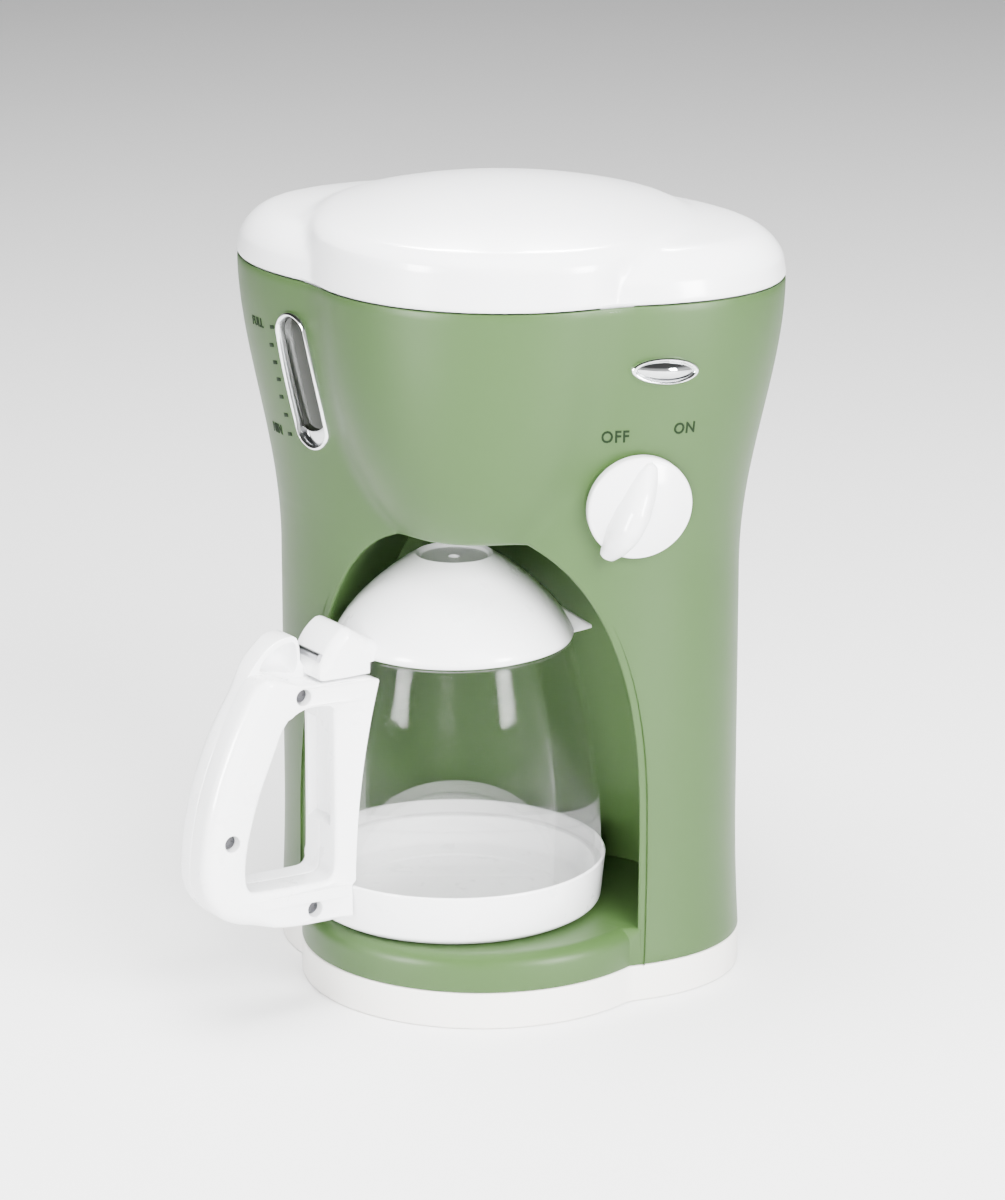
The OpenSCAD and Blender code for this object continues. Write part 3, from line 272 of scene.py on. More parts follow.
# A socket that takes part in sums: each operator adds a Math node
class Wire:
    def __init__(self, finish, socket):
        self.finish = finish
        self.socket = socket

    def math(self, operation, first, second=0.0):
        return self.finish.node("Math", {"operation": operation}, {0: first, 1: second})

    def __add__(self, other):
        return self.math("ADD", self, other)

    def __rsub__(self, other):
        return self.math("SUBTRACT", other, self)

    def __mul__(self, other):
        return self.math("MULTIPLY", self, other)

    __radd__ = __add__
    __rmul__ = __mul__

    def over(self, edge):
        return self.math("GREATER_THAN", self, edge)


class Finish:
    def __init__(self, name):
        self.material = bpy.data.materials.new(name)
        self.material.use_nodes = True
        self.tree = self.material.node_tree
        self.tree.nodes.clear()
        self.place = self.node("TexCoord", output="Object")

    # Any node: its settings are set first, then the values or links of its sockets
    def node(self, kind, settings=None, sockets=None, output=0):
        made = self.tree.nodes.new("ShaderNode" + kind)
        for key, value in (settings or {}).items():
            if key == "stops":
                ramp = made.color_ramp
                while len(ramp.elements) < len(value):
                    ramp.elements.new(0.5)
                for stop, (at, level) in zip(ramp.elements, value):
                    stop.position = at
                    stop.color = (level, level, level, 1)
            else:
                setattr(made, key, value)
        for key, value in (sockets or {}).items():
            if isinstance(value, Wire):
                self.tree.links.new(value.socket, made.inputs[key])
            else:
                made.inputs[key].default_value = value
        return Wire(self, made.outputs[output])

    # Noise between 0 and 1; size is the width of one blotch in millimetres
    def noise(self, size, detail=2.0, rough=0.5, stretch=None):
        where = self.place
        if stretch:
            where = self.node("Mapping", sockets={"Vector": where, "Scale": stretch})
        return self.node("TexNoise", sockets={"Vector": where, "Scale": 1000 / size, "Detail": detail,
                                              "Roughness": rough})

    def ramp(self, value, stops):
        return self.node("ValToRGB", {"stops": stops}, {"Fac": value})

    def blend(self, share, colourA, colourB):
        return self.node("Mix", {"data_type": "RGBA"}, {0: share, 6: colourA, 7: colourB}, output=2)

    def bump(self, height, strength, distance):
        return self.node("Bump", sockets={"Height": height, "Strength": strength, "Distance": distance * mm})

    # The shader itself, with whatever its sockets are given
    def surface(self, sockets):
        shader = self.node("BsdfPrincipled", sockets=sockets, output="BSDF")
        out = self.tree.nodes.new("ShaderNodeOutputMaterial")
        self.tree.links.new(shader.socket, out.inputs["Surface"])
        return self.material


def shaded(colour, factor):
    return tuple(min(1.0, c * factor) for c in colour[:3]) + (1.0,)


# What all moulded plastic shares: blotch, swirl and dust sizes in millimetres, and how much each one shows
moulding = dict(blotch=38, swirl=9, dust=1.6, dustFrom=0.66, dustFull=0.8, dustShare=0.05, dustShade=0.8,
                gloss=0.05, bump=0.35, coatRough=0.12)


# Moulded plastic: blotches of slightly different tone, drifting gloss and a fine moulded texture
def mouldedPlastic(name, colour, rough, grain=0.9, grainDepth=0.012, tone=0.03, coat=0.0, shine=0.5):
    finish = Finish(name)
    blotch = finish.noise(moulding["blotch"], 3)
    swirl = finish.noise(moulding["swirl"], 4, 0.6)
    fine = finish.noise(grain, 2)
    dust = finish.noise(moulding["dust"], 5, 0.7)
    colourNow = finish.blend(blotch * 0.7 + swirl * 0.3, shaded(colour, 1 - tone), shaded(colour, 1 + tone))
    specks = finish.ramp(dust, [(moulding["dustFrom"], 0), (moulding["dustFull"], 1)]) * moulding["dustShare"]
    colourNow = finish.blend(specks, colourNow, shaded(colour, moulding["dustShade"]))
    gloss = moulding["gloss"]
    sockets = {"Base Color": colourNow, "Roughness": rough - gloss / 2 + gloss * swirl, "IOR": 1.5,
               "Specular IOR Level": shine,
               "Normal": finish.bump(fine + swirl * 0.6, moulding["bump"], grainDepth)}
    if coat:
        sockets.update({"Coat Weight": coat, "Coat Roughness": moulding["coatRough"]})
    return finish.surface(sockets)


# Metal or plating: cloudy tone, and streaks stretched along the way it was brushed
def metal(name, colour, rough, brushed=(1, 1, 1), depth=0.004, spread=0.08):
    finish = Finish(name)
    streak = finish.noise(1.2, 4, 0.6, stretch=brushed)
    cloud = finish.noise(7, 3)
    return finish.surface({"Base Color": finish.blend(cloud, shaded(colour, 0.93), shaded(colour, 1.05)),
                           "Metallic": 1.0, "Roughness": rough + spread * streak,
                           "Normal": finish.bump(streak, 0.3, depth)})


# Clear plastic: part of the light goes straight through, so that what is behind a thin wall stays bright
def clearPlastic(name, colour, rough, alpha=1.0):
    finish = Finish(name)
    haze = finish.noise(22, 3)
    flow = finish.noise(14, 2, stretch=(1, 1, 0.35))
    return finish.surface({"Base Color": finish.blend(haze, colour, shaded(colour, 0.985)),
                           "Roughness": rough + 0.02 * haze, "Transmission Weight": 1.0, "IOR": 1.35,
                           "Alpha": alpha, "Normal": finish.bump(flow, 0.12, 0.05)})


finishes = {
    "body_green": mouldedPlastic("sage green moulding", (0.037, 0.075, 0.021), 0.42, grain=0.8,
                                 grainDepth=0.010, shine=0.25),
    "lid_white": mouldedPlastic("lid white moulding", (0.86, 0.865, 0.88), 0.3, grainDepth=0.004,
                                tone=0.01, coat=0.5),
    "base_white": mouldedPlastic("base white moulding", (0.80, 0.78, 0.745), 0.38, grainDepth=0.01, tone=0.015),
    "carafe_white": mouldedPlastic("carafe white moulding", (0.89, 0.895, 0.905), 0.28, grainDepth=0.004,
                                   tone=0.01, coat=0.5),
    "clear_plastic": clearPlastic("clear carafe plastic", (0.8, 0.8, 0.78, 1), 0.015, 0.24),
    "chrome_trim": metal("plated trim", (0.86, 0.87, 0.88), 0.05, depth=0.002, spread=0.05),
    "mirror_lens": metal("mirrored lens", (0.62, 0.63, 0.64), 0.04, depth=0.001, spread=0.03),
    "window_clear": mouldedPlastic("smoked window", (0.010, 0.012, 0.008), 0.1, tone=0.1, shine=0.35),
    "dark_plastic": mouldedPlastic("dark plastic", (0.004, 0.0045, 0.0035), 0.5, tone=0.1, shine=0.2),
    "inner_white": mouldedPlastic("plain white moulding", (0.72, 0.72, 0.7), 0.55, grainDepth=0.02, tone=0.03),
    "rubber_black": mouldedPlastic("foot rubber", (0.02, 0.02, 0.021), 0.75, grain=0.5, grainDepth=0.03,
                                   tone=0.15),
    "steel": metal("zinc plated steel", (0.38, 0.38, 0.4), 0.3, brushed=(1, 1, 6), depth=0.01),
    "screw_steel": metal("blackened screw steel", (0.075, 0.075, 0.08), 0.35, brushed=(1, 1, 6), depth=0.01),
    "lamp_red": clearPlastic("red lamp resin", (0.85, 0.08, 0.05, 1), 0.1),
    "contact_metal": metal("nickel plated spring steel", (0.62, 0.61, 0.58), 0.22, brushed=(4, 1, 1)),
}


# Circuit board: green mask with thin raised tracks and gold pads
def boardFinish():
    finish = Finish("board with green mask")
    tracks = finish.node("TexWave", {"wave_type": "BANDS", "bands_direction": "DIAGONAL"},
                         {"Vector": finish.place, "Scale": 260.0, "Distortion": 3.0}, output=1)
    line = finish.ramp(tracks, [(0.78, 0), (0.84, 1)])
    pads = finish.node("TexVoronoi", {"feature": "F1"}, {"Vector": finish.place, "Scale": 300.0})
    pad = finish.ramp(pads, [(0.10, 1), (0.14, 0)])
    green = finish.blend(line, (0.02, 0.11, 0.04, 1), (0.05, 0.22, 0.08, 1))
    return finish.surface({"Base Color": finish.blend(pad, green, (0.75, 0.55, 0.22, 1)),
                           "Roughness": 0.35 - 0.1 * pad, "Metallic": pad,
                           "Normal": finish.bump(line + pad, 0.4, 0.05)})


# Battery sleeve: dark blue foil with a copper coloured end, split by height
def sleeveFinish(splitZ):
    finish = Finish("battery sleeve")
    height = finish.node("SeparateXYZ", sockets={"Vector": finish.place}, output="Z")
    end = height.over(splitZ * mm)
    crinkle = finish.noise(2.5, 4)
    return finish.surface({"Base Color": finish.blend(end, (0.03, 0.05, 0.12, 1), (0.62, 0.36, 0.16, 1)),
                           "Metallic": 0.4 + 0.5 * end, "Roughness": 0.28 + 0.15 * crinkle,
                           "Normal": finish.bump(crinkle, 0.2, 0.02)})


finishes["board_green"] = boardFinish()
finishes["cell_sleeve"] = sleeveFinish(70)
finishes["mark_green"] = mouldedPlastic("dark green marks", (0.006, 0.014, 0.005), 0.6, tone=0.08, shine=0.1)
print("finishes ready")


# The housing's form

house = dict(
    seamZ=210.0, bottomZ=11.2, wall=2.4, seamY=28.0, edge=0.5,
    waistW=70.0, waistD=50.0, flareW=12.8, flareD=5.5, flareFrom=122.0, flarePower=1.15,
    footFlare=2.0, footTo=50.0,
    headTopR=57.2, headTopFront=69.0, headX=3.0, headPower=0.56, frontPower=3.5,
    lipZ=139.2, lipR=22.5, lipFront=55.0, crease=3.6,
    archHalf=51.6, archFrom=60.0, archRise=90.0, backY=24.0, cornerR=30.0,
    mouthHalf=53.3, mouthFrom=50.0, mouthRise=94.0, mouthPower=2.6, mouthRound=1.0, mouthAway=56.0,
    leftHalf=51.3, leftFrom=45.0, leftRise=95.5, leftPower=1.65, leftFull=3.0,
    platformR=53.7, platformY=-21.3, platformZ=22.4, platformRound=4.5, platformLap=1.2, plainRound=1.0)


# Smooth rise from 0 to 1
def smooth(t):
    t = np.clip(t, 0, 1)
    return t * t * (3 - 2 * t)


# Share of the flare at height z: none up to the waist, then a smooth rise to the rim
def flareShare(z):
    return smooth((z - house["flareFrom"]) / (house["seamZ"] - house["flareFrom"])) ** house["flarePower"]


# Share of the small foot at height z: falls off as a square from the bottom
def footShare(z):
    return np.clip(1 - z / house["footTo"], 0, 1) ** 2


# Half width and half depth of the main ellipse: waist, plus flare, plus foot
def halfW(z):
    return house["waistW"] + house["flareW"] * flareShare(z) + house["footFlare"] * footShare(z)


def halfD(z):
    return house["waistD"] + house["flareD"] * flareShare(z) + house["footFlare"] * footShare(z)


# Brew head: radius of a circle and how far its middle lies ahead of the main one
def headCircle(z):
    share = np.clip((z - house["lipZ"]) / (house["seamZ"] - house["lipZ"]), 0, 1)
    radius = house["lipR"] + (house["headTopR"] - house["lipR"]) * share ** house["headPower"]
    ahead = 1 - (1 - share) ** house["frontPower"]
    front = house["lipFront"] + (house["headTopFront"] - house["lipFront"]) * ahead
    return radius, front - radius


# Larger of two values, with the corner between them filled by a parabola k wide
def softMax(p, q, k):
    h = np.clip(k - np.abs(p - q), 0, None) / k
    return np.maximum(p, q) + h * h * k / 4


# Distance from the upright axis to an ellipse, and to a circle ahead of it and to one side, at angle t
def ellipseReach(t, a, b):
    return 1 / np.sqrt((np.cos(t) / a) ** 2 + (np.sin(t) / b) ** 2)


def circleReach(t, radius, ahead, aside=0.0):
    q = radius ** 2 - (ahead * np.cos(t) + aside * np.sin(t)) ** 2
    return np.where(q > 0, aside * np.cos(t) - ahead * np.sin(t) + np.sqrt(np.clip(q, 0, None)), 0)


# Point of the housing's skin at angle t and height z, grown outwards by grow
def skinPoint(t, z, grow=0.0):
    main = ellipseReach(t, halfW(z) + grow, halfD(z) + grow)
    radius, ahead = headCircle(z)
    inFront = (z >= house["lipZ"]) & (np.sin(t) < 0)
    head = np.where(inFront, circleReach(t, radius + grow, ahead, house["headX"]), 0)
    reach = softMax(main, head, house["crease"])
    return np.stack([reach * np.cos(t), reach * np.sin(t), z + 0 * t], -1)


# Angle at which the main ellipse meets the seam between the two shells
def seamAngle(z):
    b = halfD(z)
    return np.arctan2(house["seamY"], halfW(z) * np.sqrt(1 - (house["seamY"] / b) ** 2))


# Angle on the front side at which the skin has the given x, by halving the interval
def angleAtX(x, z):
    low, high = np.full(np.shape(x), -np.pi), np.zeros(np.shape(x))
    for _ in range(60):
        middle = (low + high) / 2
        left = skinPoint(middle, z)[..., 0] < x
        low, high = np.where(left, middle, low), np.where(left, high, middle)
    return (low + high) / 2


# Half width of the brew recess: straight at first, then a quarter of an ellipse
def archX(z):
    up = np.clip((z - house["archFrom"]) / house["archRise"], 0, 1)
    return house["archHalf"] * np.sqrt(1 - up ** 2)


# Half width of the recess where it opens through the skin: straight, then a quarter of a fuller oval
def mouthX(z):
    up = np.clip((z - house["mouthFrom"]) / house["mouthRise"], 0, 1)
    return house["mouthHalf"] * (1 - up ** house["mouthPower"]) ** (1 / house["mouthPower"])


# The same on the left, where the opening closes in sooner over the carafe's lid
def mouthLeft(z):
    up = np.clip((z - house["leftFrom"]) / house["leftRise"], 0, 1)
    return house["leftHalf"] * (1 - up ** house["leftPower"]) ** (1 / house["leftFull"])


# Front of the main ellipse at x and height z
def wingY(x, z):
    return -halfD(z) * np.sqrt(1 - (x / halfW(z)) ** 2)


# Back of the recess in plan: straight in the middle, round towards the sides
def recessBackY(x):
    past = np.clip(np.abs(x) - (house["archHalf"] - house["cornerR"]), 0, house["cornerR"])
    return house["backY"] - house["cornerR"] + np.sqrt(house["cornerR"] ** 2 - past ** 2)


# How far a rounded edge has drawn in at a distance from it
def edgeInset(distance):
    rest = np.clip(house["edge"] - distance, 0, house["edge"])
    return house["edge"] - np.sqrt(house["edge"] ** 2 - rest ** 2)


# Frame on the wing at x and height z: across, up and outward axes, and the place
def wingFrame(x, z, turn):
    h = 0.5                                   # half the height over which the slope is taken
    y = wingY(x, z)
    up = (wingY(x, z + h) - wingY(x, z - h)) / (2 * h)
    out = np.array([x / halfW(z) ** 2, y / halfD(z) ** 2, 0])
    out[2] = -out[1] * up
    out /= np.linalg.norm(out)
    across = np.cross([0, 0, 1], out)
    across /= np.linalg.norm(across)
    rise = np.cross(out, across)
    c, s = math.cos(math.radians(turn)), math.sin(math.radians(turn))
    return np.array([c * across + s * rise, -s * across + c * rise, out]), np.array([x, y, z])


# Lays (across, up, outward) points on the skin: along the ray from the axis, then outwards
def layOnWing(axes, origin, local):
    flat = origin + local[..., :1] * axes[0] + local[..., 1:2] * axes[1]
    t = np.arctan2(flat[..., 1], flat[..., 0])
    return skinPoint(t, flat[..., 2]) + local[..., 2:3] * axes[2]


# Takes the cells round an outline out of a grid of (angle, height), and gives the grid of rings that runs
# from the edge of the gap to the outline, share by share in a straight line
def punchHole(field, keep, outline, margin=0):
    low, high = outline.min(0), outline.max(0)
    rows = np.where((field[:, 0, 1] > low[1]) & (field[:, 0, 1] < high[1]))[0]
    r0, r1 = rows[0] - 1 - margin, rows[-1] + 1 + margin
    band = field[r0:r1 + 1, :, 0]
    cols = np.where(((band > low[0]) & (band < high[0])).any(0))[0]
    c0, c1 = cols[0] - 1 - margin, cols[-1] + 1 + margin
    keep[r0:r1, c0:c1] = False
    loop = np.concatenate([field[r0, c0:c1], field[r0:r1, c1], field[r1, c1:c0:-1], field[r1:r0:-1, c0]])
    centre = (low + high) / 2
    size = (high - low) / 2
    angle = lambda p: np.arctan2((p[:, 1] - centre[1]) / size[1], (p[:, 0] - centre[0]) / size[0])
    at = angle(outline)
    order = np.argsort(at)
    rim = np.stack([np.interp(angle(loop), at[order], outline[order, k], period=2 * np.pi) for k in (0, 1)], 1)
    share = np.linspace(0, 1, 5)[:, None, None]
    made = loop[None] * (1 - share) + rim[None] * share
    return np.concatenate([made, made[:, :1]], 1)


print("form ready")


# Closed rings of points. A circle, a stadium, which is a circle with its halves moved apart, and an eye,
# which is an oval with pinched ends; each starts on the right
def circleRing(radius, steps=48, centre=(0, 0)):
    a = np.arange(steps) * 2 * np.pi / steps
    return np.stack([centre[0] + radius * np.cos(a), centre[1] + radius * np.sin(a)], 1)


def stadiumRing(length, width, steps):
    a = np.arange(steps) * 2 * np.pi / steps
    straight = (length - width) / 2
    end = circleRing(width / 2, steps)
    return np.stack([end[:, 0], end[:, 1] + straight * np.clip(np.sin(a) * 3, -1, 1)], 1)


def eyeRing(length, height, pinch, steps):
    a = np.arange(steps) * 2 * np.pi / steps
    up = np.sign(np.sin(a)) * np.abs(np.sin(a)) ** pinch
    return np.stack([length / 2 * np.cos(a), height / 2 * up], 1)


# Upright rectangle with round corners
def rectangleRing(halfWidth, low, high, corner, steps=5):
    a = np.linspace(0, np.pi / 2, steps)
    quarter = np.stack([np.cos(a), np.sin(a)], 1) * corner
    turn = np.array([[0, 1], [-1, 0]])
    middles = [(halfWidth - corner, high - corner), (corner - halfWidth, high - corner),
               (corner - halfWidth, low + corner), (halfWidth - corner, low + corner)]
    return np.concatenate([quarter @ np.linalg.matrix_power(turn, k) + middles[k] for k in range(4)])


# Ring of a rim piece: each row is the outline at an inset, lifted to a height; the rows close up
def rimRing(outlineAt, section, steps=96):
    rows = [ringAt(outlineAt(inset, steps), height) for inset, height in section]
    return closedGrid(rows + rows[:1])


# Front half of the housing

windowPlace = dict(x=-46.4, z=180.2, turn=10.0, length=41.4, width=15.0, trim=0.75, holeInset=1.3)
eyePlace = dict(x=61.5, z=191.2, turn=-4.0, length=20.4, height=8.2, pinch=1.1, trim=0.6, holeInset=0.8,
                lensInset=1.25, lensLow=-0.6, lensEdge=0.75, lensRise=1.6)
knobPlace = dict(x=52.8, z=151.6, turn=-32.0, padR=14.8, padHigh=0.8, padRound=0.35)


# Outlines of the window and the indicator, drawn in by an inset
def windowRing(inset, steps=96):
    return stadiumRing(windowPlace["length"] - 2 * inset, windowPlace["width"] - 2 * inset, steps)


def eyeShape(inset, steps=96):
    return eyeRing(eyePlace["length"] - 3 * inset, eyePlace["height"] - 2 * inset, eyePlace["pinch"], steps)


def onWing(place):
    return wingFrame(place["x"], place["z"], place["turn"])


# Outline on the wing as (angle, height)
def outlineOnWing(place, ring):
    axes, origin = onWing(place)
    flat = origin + ring[:, :1] * axes[0] + ring[:, 1:] * axes[1]
    return np.stack([np.arctan2(flat[:, 1], flat[:, 0]), flat[:, 2]], 1)


footRows = [11.2, 11.35, 11.7]                # rows that carry the rounded edge at the foot, and at the rim
rimRows = [209.5, 209.85, 210]
recessColumns, wingColumns = 65, 72
crowding = 1.18                               # columns of the recess lie closer towards its sides
seamTurns = np.array([0, 0.0024, 0.008])      # columns that carry the rounded edge at the seam, as angles
seamAway, pastEdge = 64, 9.0                  # distance of the seam from the axis, and one beyond any rounding
lipZ = house["lipZ"]
lowRows = np.concatenate([footRows, np.linspace(14, 60, 20), np.linspace(60, lipZ, 46)[1:]])
softZ = lipZ + house["mouthRound"]
highRows = np.concatenate([softZ + (209.2 - softZ) * (np.arange(50) / 50) ** 1.3, rimRows])
spread = np.sin(crowding * np.linspace(-1, 1, recessColumns)) / math.sin(crowding)
lipX = lerp(-mouthLeft(lipZ), mouthX(lipZ), (1 + spread) / 2)
lipAngles = angleAtX(lipX, np.full(recessColumns, lipZ))
mouthTurn = house["mouthRound"] / house["mouthAway"]      # the rounding beside the mouth as an angle
rowInset = lambda z: -edgeInset(z - house["bottomZ"]) - edgeInset(house["seamZ"] - z)


# Angles of one wing, from the seam to where the rounding of the recess's mouth starts; rows over the height
def wingAngles(z, half, lipEnd):
    start = seamAngle(z)
    edge = np.where(z < lipZ, np.arctan2(wingY(half(z), z), half(z)), lipEnd) + mouthTurn
    share = np.linspace(0, 1, wingColumns)
    inner = (start - 0.02)[:, None] * (1 - share) + edge[:, None] * share
    fromSeam = np.concatenate([seamAway * seamTurns, np.full(wingColumns, pastEdge)])
    return np.concatenate([start[:, None] - seamTurns, inner], 1), fromSeam


# One wing with its hole, the line where the mouth's rounding starts, and the sharp edge that it softens
def wingGrids(mirrored, place, ring):
    z = np.concatenate([lowRows[:-1], highRows])
    half = mouthLeft if mirrored else mouthX
    t, fromSeam = wingAngles(z, half, -np.pi - lipAngles[0] if mirrored else lipAngles[-1])
    mouthT = np.arctan2(wingY(half(lowRows), lowRows), half(lowRows))
    if mirrored:
        t, mouthT = -np.pi - t, -np.pi - mouthT
    level = np.broadcast_to(z[:, None], t.shape)
    skin = skinPoint(t, level, rowInset(level) - edgeInset(fromSeam)[None])
    keep = np.ones((len(z) - 1, t.shape[1] - 1), dtype=bool)
    outline = outlineOnWing(place, ring)
    if mirrored:
        outline[:, 0] = np.where(outline[:, 0] > 0, outline[:, 0] - 2 * np.pi, outline[:, 0])
    rings = punchHole(np.stack([t, level], -1), keep, outline)
    edge = skinPoint(mouthT, lowRows, rowInset(lowRows))
    return [(skin, keep), skinPoint(rings[..., 0], rings[..., 1])], skin[:len(lowRows), -1], edge


# Strip that rounds an edge: from a line on one side, past the edge, to a line on the other side,
# start times (1 - sine) plus end times (1 - cosine), both measured from the edge
def softStrip(start, edge, end, steps=6):
    a = np.linspace(0, np.pi / 2, steps + 1)[None, :, None]
    return edge[:, None] + (start - edge)[:, None] * (1 - np.sin(a)) + (end - edge)[:, None] * (1 - np.cos(a))


# Walls of the recess: its back, and each side wall and the ceiling from the rounded mouth to the back
def recessGrids(leftLine, leftEdge, rightLine, rightEdge, lipStart):
    z = lowRows
    half = archX(z)
    backX = half[:, None] * spread[None]
    back = np.stack([backX, recessBackY(backX), np.broadcast_to(z[:, None], backX.shape)], -1)
    share = np.linspace(0, 1, 22)[None, :, None]
    lipEdge = skinPoint(lipAngles, np.full(recessColumns, lipZ))
    grids = [back]
    walls = (leftLine, leftEdge, back[:, 0]), (rightLine, rightEdge, back[:, -1]), (lipStart, lipEdge, back[-1])
    for start, edge, far in walls:
        inward = (far - edge) / np.linalg.norm(far - edge, axis=1, keepdims=True)
        inner = edge + house["mouthRound"] * inward
        grids += [softStrip(start, edge, inner), inner[:, None] * (1 - share) + far[:, None] * share]
    return grids


# Round platform as rings about its own axis: its side, its rounded edge and its flat top and bottom.
# Behind the recess's front edges it laps into the recess's walls instead.
def platformMesh():
    radius, middleY, top, low = house["platformR"], house["platformY"], house["platformZ"], house["bottomZ"]
    turn = np.linspace(0, 2 * np.pi, 241)
    turn[-1] = 0
    cornerY = house["backY"] - house["cornerR"]           # where the recess's round corners begin
    mouthY = -33                                          # where the side walls come out through the skin
    sideY = np.linspace(-60, cornerY, 60)
    backX = house["archHalf"] * np.sin(np.linspace(np.pi / 2, -np.pi / 2, 240))
    rightX = np.interp(sideY, [mouthY, cornerY], [house["mouthHalf"], house["archHalf"]])
    leftX = np.interp(sideY, [mouthY, cornerY], [house["leftHalf"], house["archHalf"]])
    planX = np.concatenate([rightX, backX, -leftX[::-1]])
    planY = np.concatenate([sideY, recessBackY(backX), sideY[::-1]]) - middleY
    planTurn = np.unwrap(np.arctan2(planY, planX))
    behind = np.interp(np.mod(turn + 1.5, 2 * np.pi) - 1.5, planTurn, np.hypot(planX, planY))
    behind = behind + house["platformLap"]
    share = smooth((np.sin(turn) + 0.26) / 0.06)          # 0 ahead of the recess's front edges, 1 behind them
    reach = lerp(radius, behind, share)
    rounding = lerp(house["platformRound"], house["plainRound"], share)
    rows = [(0 * reach, low), (reach - 0.5, low), (reach - 0.13, low + 0.13), (reach, low + 0.5)]
    for a in np.linspace(0, np.pi / 2, 9):
        rows.append((reach - rounding * (1 - math.cos(a)), top - rounding * (1 - math.sin(a))))
    rows += [((reach - rounding) * s, top) for s in (0.8, 0.4, 0)]
    grid = [np.stack([r * np.cos(turn), middleY + r * np.sin(turn), z + 0 * turn], -1) for r, z in rows]
    return buildMesh("platform", [np.array(grid)])


leftGrids, leftLine, leftEdge = wingGrids(True, windowPlace, windowRing(windowPlace["holeInset"]))
rightGrids, rightLine, rightEdge = wingGrids(False, eyePlace, eyeShape(eyePlace["holeInset"]))
middleT = np.broadcast_to(lipAngles + mouthTurn * spread, (len(highRows), recessColumns))
middleZ = np.broadcast_to(highRows[:, None], middleT.shape)
middle = skinPoint(middleT, middleZ, rowInset(middleZ))
recess = recessGrids(leftLine, leftEdge, rightLine, rightEdge, middle[0])
frontMesh = buildMesh("housing_front", leftGrids + rightGrids + recess + [middle])
frontMesh = applyModifiers(frontMesh, ("SOLIDIFY", {"thickness": house["wall"] * mm, "offset": -1}))
pad = plate([circleRing(knobPlace["padR"], 96)], -house["wall"], knobPlace["padHigh"], 0, knobPlace["padRound"])
padMesh = buildMesh("pad", *placed(*onWing(knobPlace), pad))
frontMesh = joinMeshes("housing_front", [frontMesh, platformMesh(), padMesh])
addPiece("housing_front", frontMesh, "machine", "body_green", ["front_shell"])
print("front of the housing ready")


# Rear half of the housing

rear = dict(middleHalf=30.0, middleColumns=41,
            padHalf=25.2, padLow=22.0, padHigh=105.0, padFace=50.4, padBack=40.0,
            doorHalf=21.2, doorLow=27.0, doorHigh=100.0, doorSeat=48.2, seatThick=2.4, doorGap=0.3,
            wayHalf=18.2, wayLow=29.4, wayHigh=88.6, screwX=44.0, screwZ=(40.0, 124.0), wellR=3.2, wellDeep=5.0,
            hingeY=59.4, hingeZ=211.0, knuckleR=3.4, pinR=1.55, knuckleX=12.4, knuckleHalf=3.0)


# Back of the main ellipse at x and height z
def rearY(x, z):
    return halfD(z) * np.sqrt(np.clip(1 - (x / halfW(z)) ** 2, 0, 1))


# Skin of the rear shell: x runs across at fixed steps in the middle, then spreads to the seams
def rearMesh():
    z = np.concatenate([footRows, np.linspace(13, 207.5, 110), rimRows])
    seamX = halfW(z) * np.sqrt(1 - (house["seamY"] / halfD(z)) ** 2)
    half, columns = rear["middleHalf"], rear["middleColumns"]
    share = np.linspace(0, 1, 26)[1:]
    side = half + (seamX[:, None] - half - 0.9) * share
    side = np.concatenate([side, seamX[:, None] - [0.35, 0.1, 0.0]], 1)
    middleX = np.broadcast_to(np.linspace(-half, half, columns), (len(z), columns))
    x = np.concatenate([-side[:, ::-1], middleX, side], 1)
    level = np.broadcast_to(z[:, None], x.shape)
    fromSeam = (seamX[:, None] - np.abs(x)) * 1.3
    skin = np.stack([x, rearY(x, level), level], -1)
    out = np.stack([skin[..., 0] / halfW(level) ** 2, skin[..., 1] / halfD(level) ** 2], -1)
    out /= np.linalg.norm(out, axis=-1, keepdims=True)
    skin[..., :2] += out * (rowInset(level) - edgeInset(fromSeam))[..., None]
    centreX = (x[:-1, :-1] + x[1:, 1:]) / 2
    centreZ = (level[:-1, :-1] + level[1:, 1:]) / 2
    besidePad = np.abs(centreX) > rear["padHalf"] - 2
    keep = besidePad | (centreZ < rear["padLow"] + 2) | (centreZ > rear["padHigh"] - 2)
    grids = []
    for centre in [(x0, z0) for x0 in (-rear["screwX"], rear["screwX"]) for z0 in rear["screwZ"]]:
        rings = punchHole(np.stack([x, level], -1), keep, circleRing(rear["wellR"], 48, centre), margin=1)
        ringX, ringZ = rings[..., 0], rings[..., 1]
        grids.append(np.stack([ringX, rearY(ringX, ringZ), ringZ], -1))
        rim = rings[-1]
        rimY = rearY(rim[:, 0], rim[:, 1])
        deep = rearY(*centre) - rear["wellDeep"]
        wall = np.linspace(0, 1, 5)[:, None] * (deep - rimY) + rimY
        flat = np.broadcast_to(rim, (5, *rim.shape))
        grids.append(np.stack([flat[..., 0], wall, flat[..., 1]], -1))
        seat = np.stack([np.array(centre) + (rim - np.array(centre)) * s for s in (1.0, 0.5, 0.0)])
        grids.append(np.stack([seat[..., 0], np.full(seat.shape[:2], deep), seat[..., 1]], -1))
    return buildMesh("rear", [(skin, keep)] + grids)


